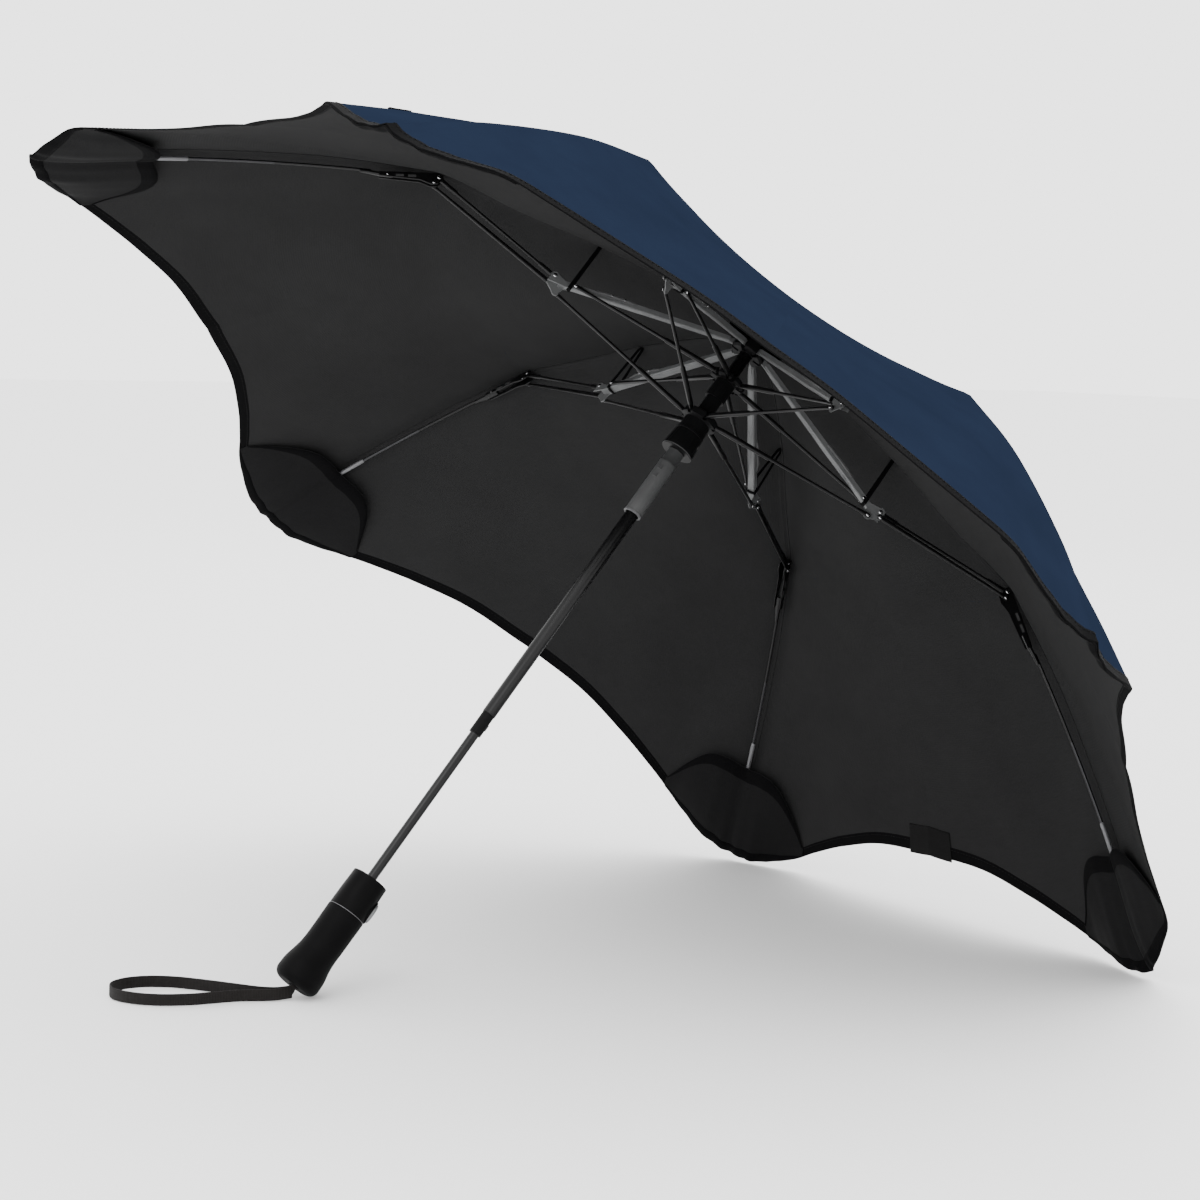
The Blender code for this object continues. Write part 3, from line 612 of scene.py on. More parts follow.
def build_canopy():
    around = spaced(-180.0, 180.0 - 360 / 96, 95)
    cloth_panel("canopy_hub", 1, around, spaced(0.0, HUB_PART, 4), "shaft", None)
    turns = spaced(-30.0, 30.0, 40)
    for k in range(1, RIBS + 1):
        cloth_panel(f"canopy_inner_{k}", k, turns, spaced(HUB_PART, ELBOW_PART, 30),
                    f"main_rib_{k}", KEEP_INNER)
        fine = spaced(-30.0, -15.0, 16) + spaced(-15.0, 15.0, 44)[1:] + spaced(15.0, 30.0, 16)[1:]
        cloth_panel(f"canopy_outer_{k}", k, fine, spaced(ELBOW_PART, 1.0, 40),
                    f"outer_rib_{k}", KEEP_OUTER)


def build_hem():
    """Bound edge of the cloth all round, and the seam over each rib."""
    for k in range(1, RIBS + 1):
        turns = spaced(-30.0, 30.0, 90)
        path = [[(t, 1 - inset / (hem_r(off_rib(t)) - HUB_HOLE_R)) for inset in (7.0, 4.6, 2.3, -0.4)]
                for t in turns]
        ribbon(f"hem_binding_{k}", path, k, f"outer_rib_{k}", "binding", KEEP_OUTER, 1.0)
        line = [cloth_place(t, 1 - 5.6 / (hem_r(off_rib(t)) - HUB_HOLE_R)) for t in turns]
        stitches(f"hem_stitches_under_{k}", [line], k, f"outer_rib_{k}", KEEP_OUTER, -0.62)
        stitches(f"hem_stitches_over_{k}", [line], k, f"outer_rib_{k}", KEEP_OUTER, 0.62)
        for name, parts, body, keep in (
                ("inner", spaced(HUB_PART, ELBOW_PART, 60), f"main_rib_{k}", KEEP_INNER),
                ("outer", spaced(ELBOW_PART, 0.86, 50), f"outer_rib_{k}", KEEP_OUTER)):
            path = []
            for part in parts:
                r = cloth_point(0.0, part)[0]
                half = math.degrees(2.2 / r)
                path.append([(-half, part), (0.0, part), (half, part)])
            ribbon(f"seam_tape_{name}_{k}", path, k, body, "charcoal", keep, 0.5, -0.45)


def pocket_point(side, share, extra=0.0):
    """A point of a tip pocket: side runs from -1 to 1 across it and share from its mouth to the hem."""
    turn = math.degrees(math.atan2(POCKET_HALF * side, 485.0))
    edge = hem_r(off_rib(turn)) - GAP
    start = POCKET_R + (edge - POCKET_HEM - POCKET_R) * abs(side)**3.4
    start -= 8.0 * math.sin(math.pi * abs(side))
    r = start + (edge - start) * share
    room = 10.5 * (1 - side**2) * (1 - share**4) + 0.9
    fold = 0.55 * math.cos(side * 17 + 0.8 * math.sin(share * 5)) * (1 - side**2) * (0.3 + 0.7 * share)
    part = (r - HUB_HOLE_R) / (hem_r(off_rib(turn)) - HUB_HOLE_R)
    z = cloth_point(turn, part)[1]
    a = math.radians(turn)
    return Vector((r * math.cos(a), r * math.sin(a), z - CLOTH - room - fold - extra))


def build_pockets():
    across, deep = 48, 30
    for k in range(1, RIBS + 1):
        points, uvs = [], []
        for layer in (0.0, -0.6):
            for i in range(deep + 1):
                for j in range(across + 1):
                    side = -1 + 2 * j / across
                    points.append(pocket_point(side, i / deep, layer))
                    uvs.append((side * 0.076, 0.07 * i / deep))
        upper, lower, edge = shell_faces(deep + 1, across + 1)
        made = piece(f"pocket_{k}", points, upper + lower + edge, rib_plane(k), f"outer_rib_{k}",
                     "pocket_cloth", (f"tip_pocket_{k}",), uvs, sharp=60)
        outward(made)
        fold_with_ribs(made)
        sides = spaced(-0.985, 0.985, 60)
        mouth = [[pocket_point(s, share, 0.35) for s in sides] for share in (0.03, 0.10)]
        hem = [[pocket_point(s, share, 0.35) for s in sides] for share in (0.90, 0.96)]
        stitches(f"pocket_stitches_{k}", mouth + hem, k, f"outer_rib_{k}", KEEP_OUTER, 0.0, 2.8, 1.8)
        border(k, sides)


def border(k, sides):
    """The folded edge round a pocket: a raised band along its mouth and another along the hem."""
    for name, low, high in (("mouth", 0.0, 0.13), ("hem", 0.87, 0.995)):
        points, columns = [], 4
        for extra in (0.75, 0.1):
            for s in sides:
                for j in range(columns):
                    raise_ = extra if 0 < j < columns - 1 else min(extra, 0.35)
                    points.append(pocket_point(s, low + (high - low) * j / (columns - 1), raise_))
        upper, lower, edge = shell_faces(len(sides), columns)
        uvs = [(0.001 * (i // columns), 0.002 * (i % columns)) for i in range(len(points))]
        made = piece(f"pocket_{name}_band_{k}", points, upper + lower + edge, rib_plane(k),
                     f"outer_rib_{k}", "binding", (), uvs, sharp=60)
        outward(made)
        fold_with_ribs(made)


def build_label_and_tab():
    """Blank label on the hem between ribs 1 and 6, and the closing tab outside between ribs 3 and 4."""
    reach = hem_r(1.0) - HUB_HOLE_R
    insets = (16.0, 11.0, 6.0, 1.0, -1.6)
    label = [[(t, 1 - inset / reach) for inset in insets] for t in spaced(26.6, 33.4, 24)]
    ribbon("blank_hem_label", label, 6, "outer_rib_6", "label_cloth", KEEP_OUTER, 0.5, -1.0,
           ("hem_label",))
    turns = spaced(-14.2, -9.0, 14)
    tab = [[(t, 0.874 + 0.009 * j) for j in range(5)] for t in turns]
    ribbon("closing_tab", tab, 4, "outer_rib_4", "pocket_cloth", KEEP_OUTER, 0.8, 2.0,
           ("tie_strap",))
    edge = [[(t, 0.905 + 0.004 * j) for j in range(2)] for t in turns]
    ribbon("closing_tab_edge", edge, 4, "outer_rib_4", "tab_red", KEEP_OUTER, 1.0, 2.1)


# ---------------------------------------------------------------- ribs and bars

def channel(name, sections, plane, body, finish, replaces=(), thin=0.7):
    """A folded channel, open above, through sections (x, half width, top z, bottom z)."""
    rings = []
    for x, half, top, low in sections:
        soft = min(0.6, half / 3)
        outer = [(half, top), (half, low + soft), (half - soft, low), (-half + soft, low),
                 (-half, low + soft), (-half, top)]
        inner = [(-half + thin, top), (-half + thin, low + thin), (half - thin, low + thin),
                 (half - thin, top)]
        rings.append([(x, y, z) for y, z in outer + inner])
    return loft(rings, plane, name, body, finish, replaces)


def plate(name, outline, low, high, plane, body, finish, replaces=(), soft=0.25):
    """A flat plate: an outline of (x, z), from y low to high, with softened edges."""
    points = [(x, y, z) for y in (low, high) for x, z in outline]
    n = len(outline)
    faces = [(i, (i + 1) % n, n + (i + 1) % n, n + i) for i in range(n)]
    faces += [tuple(range(n)), tuple(range(n, 2 * n))]
    made = piece(name, points, faces, plane, body, finish, replaces)
    outward(made)
    bevel = made.modifiers.new("soft_edges", "BEVEL")
    bevel.width = soft * MM
    bevel.segments = 2
    bevel.limit_method = "ANGLE"
    bevel.angle_limit = math.radians(30)
    return made


def arc(x, z, radius, start, end, count=8):
    return [(x + radius * math.cos(math.radians(a)), z + radius * math.sin(math.radians(a)))
            for a in spaced(start, end, count)]


def build_main_rib(k):
    plane, body, end = rib_plane(k, RIB_PIVOT, RIB_ANGLE), f"main_rib_{k}", RIB_LENGTH
    sections = [(7, 2.4, 2.0, -1.6), (16, 2.9, 1.7, -2.2), (72, 3.1, 0.2, -4.0), (80, 3.2, 0.0, -4.4),
                (end - 30, 3.2, -1.1, -5.1), (end - 16, 3.2, -1.5, -5.6), (end - 4, 3.0, -1.8, -5.9)]
    channel(f"rib_channel_{k}", sections, plane, body, "rib_grey", (f"main_rib_{k}",))
    cheek = [(end - 16, -5.2), (end - 9, -6.2)] + arc(end - 4.1, -10.4, 2.6, 165, 330, 8)
    cheek += [(end - 0.4, -9.6), (end + 2.2, -7.2), (end + 4.4, -5.0)]
    cheek += arc(end, 0, 3.0, -35, 150, 10) + [(end - 9, -1.7)]
    plain = [p for p in cheek if p[1] > -7]
    plate(f"rib_hook_{k}", cheek, -3.2, -2.5, plane, body, "rib_grey")
    plate(f"rib_cheek_{k}", plain, 2.5, 3.2, plane, body, "rib_grey")
    blade = arc(0, 0, 2.2, 90, 270, 8) + [(16, -1.9), (16, 1.2)]
    plate(f"rib_blade_{k}", blade, -1.1, 1.1, plane, body, "rib_grey")
    wing = [(80, 3.3, -0.2, -1.2), (85, 4.8, -0.3, -1.5), (105, 5.1, -0.7, -1.9), (112, 3.3, -1.0, -2.0)]
    channel(f"rib_wing_{k}", [(x, h, t + 0.5, b) for x, h, t, b in wing], plane, body, "wing_grey",
            thin=0.9)
    for side in (-1, 1):
        fold = [(18, side * 1.5, -2.1, 0.22, 0.3), (72, side * 1.5, -3.9, 0.22, 0.3),
                (end - 30, side * 1.5, -5.0, 0.22, 0.3)]
        rod(fold, plane, f"rib_fold_{'a' if side < 0 else 'b'}_{k}", body, "rim_grey", sides=8)
    rivets([(end, 0, 1, 3.2, 1.6, 0.7), (end, 0, -1, -3.2, 1.6, 0.7), (end - 16, -3.2, 1, 3.0, 1.2, 0.5),
            (end - 16, -3.2, -1, -3.0, 1.2, 0.5), (STRUT_AT, -STRUT_DROP, 1, 5.9, 1.5, 0.6),
            (100, -0.9, 1, 5.0, 0.7, 0.4), (90, -0.7, 1, 4.8, 0.7, 0.4)], plane, f"rib_rivets_{k}", body)


def build_mid_rib(k):
    plane, body = rib_plane(k, KNEE, MID_ANGLE), f"mid_rib_{k}"
    sections = [(-1.9, 0, 0, 1.2, 1.2), (-1.2, 0, 0, 1.5, 1.9), (2, 0, 0, 1.6, 1.9), (14, 0, 0, 1.7, 1.8),
                (16, 0, 0, 1.15, 1.2), (MID_LENGTH - 18, 0, 0, 1.15, 1.2),
                (MID_LENGTH - 16, 0, 0, 1.7, 1.8), (MID_LENGTH - 2, 0, 0, 1.6, 1.9),
                (MID_LENGTH + 1.2, 0, 0, 1.5, 1.9), (MID_LENGTH + 1.9, 0, 0, 1.2, 1.2)]
    rod(sections, plane, f"middle_rod_{k}", body, "frame_black", (f"mid_rib_{k}",), power=2.6)


def build_outer_rib(k):
    plane, body = rib_plane(k, ELBOW, WIRE_ANGLE), f"outer_rib_{k}"
    half = 3.2
    cheek = arc(0, 0, 3.0, 100, 210, 8) + [(1, -5.4), (6, -5.8), (14, -2.8), (34, -1.6), (44, -0.9),
                                           (44, 2.2), (20, 2.8)]
    for tag, side in (("m1", -1), ("1", 1)):
        low, high = sorted((side * half, side * (half - 0.8)))
        plate(f"elbow_side_{tag}_{k}", cheek, low, high, plane, body, "frame_black")
    top = [(18, 2.1), (44, 1.4), (44, 2.2), (20, 2.8)]
    plate(f"elbow_top_{k}", top, -half, half, plane, body, "frame_black")
    for i, (start, end) in enumerate(((17, 23), (26, 32))):
        window = [(start, -0.9), (end, -0.9), (end, 0.9), (start, 0.9)]
        for side in (-1, 1):
            low, high = sorted((side * (half - 0.2), side * (half + 0.12)))
            plate(f"elbow_window_{i}_{'a' if side > 0 else 'b'}_{k}", window, low, high, plane, body,
                  "wing_grey", soft=0.1)
    taper = [(34, 0, 0.6, 2.6, 1.5), (44, 0, 1.2, 2.4, 1.6), (52, 0, 2.6, 1.6, 1.4), (58, 0, 3.2, 1.2, 1.2)]
    rod(taper, plane, f"elbow_taper_{k}", body, "frame_black", power=2.6)

    def bowed(x):
        return WIRE_BOW * 4 * (x / WIRE_LENGTH) * (1 - x / WIRE_LENGTH)

    wire = [(x, 0, bowed(x), 1.1, 1.1) for x in spaced(50, WIRE_LENGTH - 4, 30)]
    rod(wire, plane, f"wire_{k}", body, "frame_black", (f"outer_rib_{k}",), sides=12)
    sleeve = [(x, 0, bowed(x), r, r) for x, r in ((182, 1.2), (183, 1.75), (207, 1.75), (208.5, 1.2))]
    rod(sleeve, plane, f"wire_sleeve_{k}", body, "rim_grey", sides=14)
    bright = [(x, 0, bowed(x), 1.16, 1.16) for x in spaced(120, 182, 8)]
    rod(bright, plane, f"wire_bright_{k}", body, "wire_grey", sides=12)
    rivets([(0, 0, 1, half, 1.6, 0.7), (0, 0, -1, -half, 1.6, 0.7), (3.9, -3.9, 1, half, 1.2, 0.5),
            (3.9, -3.9, -1, -half, 1.2, 0.5),
            (38, 0.6, 1, half, 0.9, 0.4)], plane, f"elbow_rivets_{k}", body)


def build_bar(name, k, start, end, side, tall, socket, body, rivet_at):
    """A bar in its side lane, with a thick round socket at its inner end."""
    angle, length, y = direction(start, end), distance(start, end), side * LANE
    plane = rib_plane(k, start, angle)
    thick = tall / 2
    sections = [(-2.0, y, 0, 0.9, 1.0), (-1.2, y, 0, 1.0, 1.9), (3.5, y, 0, 1.0, 1.9)]
    if socket:
        sections += [(6, y, 0, 1.7, 2.1), (socket, y, 0, 1.7, 2.0), (socket + 1.5, y, 0, 1.15, 1.3)]
    sections += [(length * 0.9, y, 0, 1.1, 1.25), (length - 7, y, 0, 1.0, thick),
                 (length + 1.2, y, 0, 1.0, 1.9), (length + 2.0, y, 0, 0.9, 1.0)]
    rod(sections, plane, f"{name}_rod_{k}", body, "frame_black", (f"{name}_{k}",), power=2.4)
    heads = [(x, 0, side, side * (LANE + 1.0), 1.4, 0.6) for x in rivet_at(length)]
    rivets(heads, plane, f"{name}_rivets_{k}", body)


def build_ribs():
    link_start = along(KNEE, RIB_ANGLE, 2.9, -3.6)
    link_end = along(ELBOW, WIRE_ANGLE, 3.9, -3.9)
    for k in range(1, RIBS + 1):
        build_main_rib(k)
        build_mid_rib(k)
        build_outer_rib(k)
        build_bar("control_rod", k, link_start, link_end, -1, 2.2, 0, f"control_rod_{k}", lambda n: (0, n))
        build_bar("stretcher", k, RUNNER_PIVOT, STRETCHER_END, -1, 2.8, 46.0, f"stretcher_{k}",
                  lambda n: (n,))
        build_bar("strut", k, RING_PIVOT, STRUT_END, 1, 2.8, 42.0, f"strut_{k}", lambda n: (n,))
        build_tie(k)


def build_tie(k):
    """Fabric tie from the seam down round the rib just inside the knee."""
    plane, body = rib_plane(k), f"main_rib_{k}"
    knee_r = KNEE[0] - 14
    top = cloth_height(knee_r, 0) - 1.0
    rib_z = along(RIB_PIVOT, RIB_ANGLE, RIB_LENGTH - 15, -6.4)[1]
    loop = [(0, top), (-1.4, top - 2.5), (-3.8, rib_z + 4), (-3.6, rib_z - 0.2), (0, rib_z - 0.6),
            (3.6, rib_z - 0.2), (3.8, rib_z + 4), (1.4, top - 2.5), (0, top)]
    rings = []
    for i, (y, z) in enumerate(loop):
        back, front = loop[max(i - 1, 0)], loop[min(i + 1, len(loop) - 1)]
        way = Vector((front[0] - back[0], front[1] - back[1])).normalized()
        side = Vector((way.y, -way.x)) * 0.3
        rings.append([(knee_r - 1.5, y - side.x, z - side.y), (knee_r + 1.5, y - side.x, z - side.y),
                      (knee_r + 1.5, y + side.x, z + side.y), (knee_r - 1.5, y + side.x, z + side.y)])
    loft(rings, plane, f"rib_tie_{k}", body, "binding", sharp=60)


# ---------------------------------------------------------------- shaft, runner and handle

def build_shaft():
    top_cap = [(0, 13.3), (12.6, 13.3), (13.0, 13.7), (13.0, 14.6), (12.4, 15.9), (11.0, 17.1),
               (8.4, 18.4), (5.0, 19.2), (2.2, 19.5), (0, 19.6)]
    lathe("cap_dome", top_cap, "runner_black", "shaft", ("top_cap",))
    lathe("cap_washer", [(5.4, 12.75), (11.5, 12.75), (11.5, 13.2), (5.4, 13.2)], "rim_grey", "shaft")
    upper = [(TUBE_BORE_R, TUBE_END), (TUBE_R - 0.2, TUBE_END), (TUBE_R, TUBE_END + 0.4),
             (TUBE_R, TUBE_TOP), (TUBE_BORE_R, TUBE_TOP)]
    lathe("upper_shaft", upper, "tube_black", "shaft", ("upper_tube",))
    inner = [(INNER_BORE_R, INNER_END), (INNER_R, INNER_END),
             (INNER_R, INNER_TOP), (INNER_BORE_R, INNER_TOP)]
    lathe("lower_shaft", inner, "tube_black", "handle", ("lower_tube",))
    for azimuth in (-62, 118):
        keyway("shaft_line", azimuth, TUBE_R, TUBE_END + 6, -165, "shaft")
        keyway("inner_line", azimuth, INNER_R, -480, -365, "handle")


def keyway(name, azimuth, radius, low, high, body):
    """A fine drawn line along a tube."""
    plane = UMBRELLA @ Matrix.Rotation(math.radians(azimuth), 4, "Z")
    rings = [[(radius - 0.12, -0.35, z), (radius + 0.10, -0.22, z), (radius + 0.10, 0.22, z),
              (radius - 0.12, 0.35, z)] for z in spaced(low, high, 4)]
    loft(rings, plane, f"{name}_{azimuth % 360}", body, "wire_grey")


def build_runner():
    z = RUNNER_Z
    sleeve = [(5.6, z - 91), (6.5, z - 91), (6.75, z - 90.6), (6.75, z - 45), (6.9, z - 44.4),
              (6.9, z - 43), (6.3, z - 42), (6.3, z - 32.3), (5.6, z - 32.3)]
    lathe("runner_tube", sleeve, "sleeve_grey", "runner", ("runner_sleeve",))
    tube_rim = [(6.7, z - 91), (6.95, z - 90.8), (6.95, z - 89.6), (6.7, z - 89.4)]
    lathe("runner_tube_rim", tube_rim, "rim_grey",
          "runner")
    lathe("runner_lip", [(12.1, z - 31.6), (12.4, z - 31.5), (12.5, z - 31.1), (12.3, z - 30.8)],
          "sleeve_grey", "runner")
    lathe("runner_groove", [(10.9, z - 15.4), (11.25, z - 15.1), (11.25, z - 14.2), (10.8, z - 13.9)],
          "runner_black", "runner")
    for side in (-1, 1):
        tag = "a" if side < 0 else "b"
        for step in range(2):
            low = z - 52 - 7 * step
            notch = [(6.6, -1.6, low), (6.95, -1.4, low + 0.2), (6.95, 1.4, low + 0.2),
                     (6.6, 1.6, low)]
            rings = [notch, [(x, y, zz + 3.4) for x, y, zz in notch]]
            plane = UMBRELLA @ Matrix.Rotation(math.radians(-60 + 90 * side), 4, "Z")
            loft(rings, plane, f"runner_notch_{tag}_{step}", "runner", "wing_grey")
    plane = UMBRELLA @ Matrix.Rotation(math.radians(-50), 4, "Z")
    dot = [(11.6 + h, r * math.cos(a), z - 21 + r * math.sin(a))
           for r, h in ((1.6, 0), (1.3, 0.3), (0.01, 0.3))
           for a in [2 * math.pi * i / 16 for i in range(16)]]
    piece("runner_dot", dot, grid_faces(3, 16, around=True), plane, "runner", "wing_grey")


def cut(made, points, faces, plane):
    """Takes a solid, given by its points and faces, out of a piece."""
    mesh = bpy.data.meshes.new("cutter")
    mesh.from_pydata([plane @ Vector(p) for p in points], [], faces)
    cutter = bpy.data.objects.new("cutter", mesh)
    bpy.context.scene.collection.objects.link(cutter)
    outward(cutter)
    change = made.modifiers.new("cut", "BOOLEAN")
    change.object = cutter
    change.solver = "EXACT"
    graph = bpy.context.evaluated_depsgraph_get()
    left = bpy.data.meshes.new_from_object(made.evaluated_get(graph))
    made.modifiers.clear()
    made.data = left
    left.shade_smooth()
    left.set_sharp_from_angle(angle=math.radians(35))
    bpy.data.objects.remove(cutter)


def button_oval(low, high, half_width, half_height, sides=40):
    """A plug that points out of the handle at the button's place: (points, faces)."""
    turns = [2 * math.pi * k / sides for k in range(sides)]
    points = [(x, half_width * math.cos(a), BUTTON_Z + half_height * math.sin(a))
              for x in (low, high) for a in turns]
    return points, grid_faces(2, sides, around=True) + [tuple(range(sides)), tuple(range(sides, 2 * sides))]


def build_grip():
    """Rubber grip, straight at the button's side and swollen towards the palm, with the strap's recess."""
    steps, sides = 12, 96
    waist = curve([(HANDLE_END + RIM_ROUND, RIM_R + RIM_ROUND), (-560.0, 17.1), (-553.0, 15.6),
                   (-546.0, 14.3), (-538.0, 13.8), (-524.0, 13.9), (HANDLE_SPLIT - 0.5, 14.0)])
    centre_z = HANDLE_END + RIM_ROUND
    profile = [(HANDLE_BORE_R, HANDLE_SPLIT), (13.6, HANDLE_SPLIT), (13.9, HANDLE_SPLIT - 0.2)]
    profile += [(waist(z), z) for z in spaced(HANDLE_SPLIT - 0.5, centre_z, 40)]
    profile += [(RIM_R + RIM_ROUND * math.cos(math.radians(-90 * i / steps)),
                 centre_z + RIM_ROUND * math.sin(math.radians(-90 * i / steps)))
                 for i in range(1, steps + 1)]
    socket = INNER_R + GAP
    profile += [(0, HANDLE_END), (0, INNER_END - GAP), (socket, INNER_END - GAP), (socket, HANDLE_BORE_END),
                (HANDLE_BORE_R, HANDLE_BORE_END)]
    points, faces = turned(profile, sides)
    trimmed = []
    for x, y, z in points:
        r, azimuth = math.hypot(x, y), math.atan2(y, x)
        low = min(max((-536.0 - z) / 20.0, 0.0), 1.0)
        side = max(0.0, math.cos(azimuth - math.radians(BUTTON_AT - 25.0)))**2
        share = 1 - 0.13 * (3 * low**2 - 2 * low**3) * side if r > 10.0 else 1.0
        trimmed.append((x * share, y * share, z))
    made = piece("grip_shell", trimmed, faces, UMBRELLA, "handle", "grip_rubber",
                 ("handle_grip",))
    outward(made)
    corners = [(x, y, z) for x in (-2.6, 2.6) for y in (-5, 5) for z in (HANDLE_END - 2, HANDLE_END + 6)]
    sides_of_box = [(0, 1, 3, 2), (4, 5, 7, 6), (0, 1, 5, 4), (2, 3, 7, 6), (0, 2, 6, 4), (1, 3, 7, 5)]
    cut(made, corners, sides_of_box, UMBRELLA)


def build_handle():
    build_grip()
    top, low = HANDLE_TOP, HANDLE_SPLIT + GAP
    collar = [(HANDLE_BORE_R, low), (13.6, low), (13.8, low + 0.5), (13.75, -500.0), (13.3, top + 2.4),
              (12.9, top + 0.9), (12.0, top), (HANDLE_BORE_R, top)]
    made = lathe("collar_shell", collar, "handle_plastic", "handle", ("handle_collar",),
                 sides=96)
    turn = UMBRELLA @ Matrix.Rotation(math.radians(BUTTON_AT), 4, "Z")
    cut(made, *button_oval(6.0, 16.0, 4.3, 7.8), turn)
    lathe("handle_seam", [(13.3, HANDLE_SPLIT + 0.02), (13.85, HANDLE_SPLIT + 0.02), (13.85, low - 0.02),
                          (13.3, low - 0.02)], "rim_grey", "handle", sides=96)
    rim, sides = [], 48
    for x, wide, tall in ((12.4, 4.35, 7.85), (14.1, 4.35, 7.85), (14.4, 4.7, 8.2), (14.2, 5.2, 8.7),
                          (12.4, 5.4, 8.9)):
        rim += [(x, wide * math.cos(2 * math.pi * i / sides),
                 BUTTON_Z + tall * math.sin(2 * math.pi * i / sides))
                for i in range(sides)]
    faces = grid_faces(5, sides, around=True)
    faces += [(i, (i + 1) % sides, 4 * sides + (i + 1) % sides, 4 * sides + i) for i in range(sides)]
    outward(piece("button_rim", rim, faces, turn, "handle", "handle_plastic"))
    rings = []
    for x, share in ((9.6, 1.0), (14.6, 1.0), (15.3, 0.95), (15.8, 0.8), (16.05, 0.5), (16.1, 0.12)):
        rings.append([(x, 3.9 * share * math.cos(2 * math.pi * i / sides),
                       BUTTON_Z + 7.4 * share * math.sin(2 * math.pi * i / sides)) for i in range(sides)])
    loft(rings, turn, "button_cap", "open_button", "button_grey", ("open_button",))


def build_strap():
    """Flat webbing on edge round its loop on the floor, and back to the pin in the handle's foot."""
    foot = UMBRELLA @ Vector((0, 0, HANDLE_END))
    knots = [Vector(p) for p in STRAP_ROUTE]
    path = []
    for i in range(len(knots) - 1):
        a, b = knots[max(i - 1, 0)], knots[min(i + 2, len(knots) - 1)]
        p, q = knots[i], knots[i + 1]
        for t in [j / 8 for j in range(8)]:
            rise = p * (2 * t**3 - 3 * t**2 + 1) + q * (3 * t**2 - 2 * t**3)
            path.append(rise + (q - a) / 2 * (t**3 - 2 * t**2 + t) + (b - p) / 2 * (t**3 - t**2))
    path.append(knots[-1])
    plane = Matrix.Translation((foot.x, 0, 0)) @ Matrix.Scale(MM, 4)
    rings, uvs, run = [], [], 0.0
    section = [(-0.5, -0.42), (-0.3, -0.5), (0.3, -0.5), (0.5, -0.42), (0.5, 0.42), (0.3, 0.5), (-0.3, 0.5),
               (-0.5, 0.42)]
    for i, point in enumerate(path):
        way = path[min(i + 1, len(path) - 1)] - path[max(i - 1, 0)]
        side = Vector((-way.y, way.x, 0)).normalized()
        run += (point - path[max(i - 1, 0)]).length
        for s, up in section:
            rings.append(point + side * s * STRAP_THICK + Vector((0, 0, up * STRAP_WIDTH)))
            uvs.append((run * MM, (up + s * 0.1) * STRAP_WIDTH * MM))
    n = len(section)
    faces = grid_faces(len(path), n, around=True)
    faces += [tuple(range(n)), tuple(range(len(rings) - n, len(rings)))]
    made = piece("wrist_webbing", rings, faces, plane, "handle", "strap_webbing",
                 ("wrist_strap",), uvs, sharp=50)
    outward(made)
    build_strap_end()


def build_strap_end():
    """Where the two ends of the strap are sewn together and looped over the pin."""
    pin = UMBRELLA @ Vector((0, 0, HANDLE_END + 3))
    start = Vector((pin.x - 0.0045, 0.0024, 0.0047))
    stations = [(start, 0.0008, 0.0036), (start.lerp(pin, 0.3) - Vector((0, 0, 0.0004)), 0.0014, 0.0030),
                (start.lerp(pin, 0.65), 0.0020, 0.0020), (pin, 0.0021, 0.0019),
                (pin + shaft_up * 0.0014, 0.0014, 0.0009)]
    rings = []
    for i, (centre, half, tall) in enumerate(stations):
        back, front = stations[max(i - 1, 0)][0], stations[min(i + 1, len(stations) - 1)][0]
        up = (front - back).cross(across).normalized()
        rings.append([centre + across * half * math.cos(2 * math.pi * j / 20)
                      + up * tall * math.sin(2 * math.pi * j / 20) for j in range(20)])
    loft(rings, Matrix.Identity(4), "strap_end", "handle", "strap_webbing")


# ---------------------------------------------------------------- CAD nodes that stay, stage and camera

def finish_cad_nodes():
    kept = {"crown": "runner_black", "floating_ring": "runner_black", "runner": "runner_black",
            "reducer_collar": "runner_black", "strap_pin": "pin_steel"}
    for name, finish in kept.items():
        node = frame["nodes"][name]
        node.data.materials.clear()
        node.data.materials.append(finishes[finish])


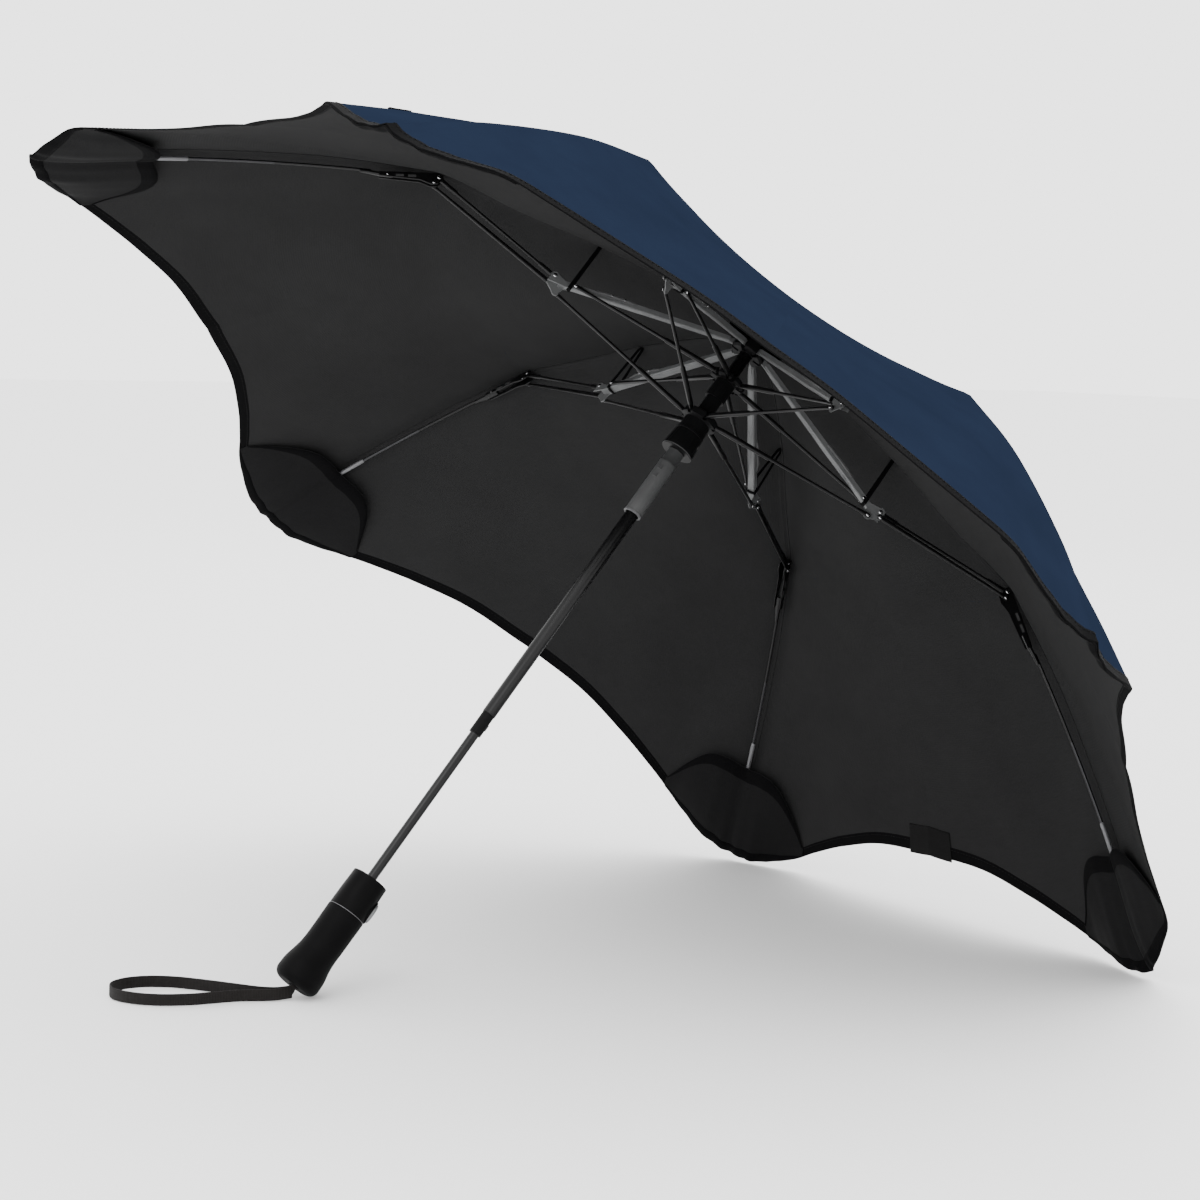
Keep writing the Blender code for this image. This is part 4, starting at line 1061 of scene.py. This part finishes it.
def build_stage():
    bpy.ops.mesh.primitive_plane_add(size=30, location=(0, 0, cad_low.z - 0.0005))
    floor = bpy.context.object
    floor.name = "floor"
    made, tree, shader, node = new_material("pale_floor", (0.90, 0.90, 0.90), 0.75)
    place = node("ShaderNodeTexCoord").outputs["Object"]
    vary(tree, shader, node, (0.90, 0.90, 0.90), 0.995, 1.0, 1.5, place)
    floor.data.materials.append(made)


def area_light(name, place, target, size, power):
    light = bpy.data.lights.new(name, "AREA")
    light.shape = "DISK"
    light.size = size
    light.energy = power
    lamp = bpy.data.objects.new(name, light)
    lamp.location = place
    lamp.rotation_euler = (Vector(target) - Vector(place)).to_track_quat("-Z", "Y").to_euler()
    bpy.context.scene.collection.objects.link(lamp)


def build_lights():
    world = bpy.data.worlds.new("studio")
    bpy.context.scene.world = world
    world.use_nodes = True
    world.node_tree.nodes["Background"].inputs["Color"].default_value = (1, 1, 1, 1)
    world.node_tree.nodes["Background"].inputs["Strength"].default_value = 3.0
    area_light("key", (-1.6, -1.4, 3.0), (0, 0, 0.2), 2.4, 60)
    area_light("fill", (-2.6, -2.2, 0.9), (0, 0, 0.3), 2.0, 22)
    area_light("back", (2.0, 2.4, 2.2), (0, 0, 0.2), 2.0, 18)


def build_camera():
    looks, right = Vector(CAMERA_LOOKS).normalized(), Vector(CAMERA_RIGHT)
    right = (right - looks * right.dot(looks)).normalized()
    up = right.cross(looks)
    turn = Matrix((right, up, -looks)).transposed().to_4x4()
    data = bpy.data.cameras.new("camera")
    data.lens = CAMERA_LENS
    data.sensor_width = CAMERA_SENSOR
    camera = bpy.data.objects.new("camera", data)
    camera.matrix_world = Matrix.Translation(crown_at + Vector(CAMERA_FROM_CROWN)) @ turn
    bpy.context.scene.collection.objects.link(camera)
    bpy.context.scene.camera = camera


for leftover in [o for o in bpy.data.objects if o.name in ("Cube", "Light", "Camera")]:
    bpy.data.objects.remove(leftover)
build_camera()
build_stage()
build_lights()
build_strap()
build_canopy()
build_hem()
build_pockets()
build_label_and_tab()
build_ribs()
build_shaft()
build_runner()
build_handle()
finish_cad_nodes()
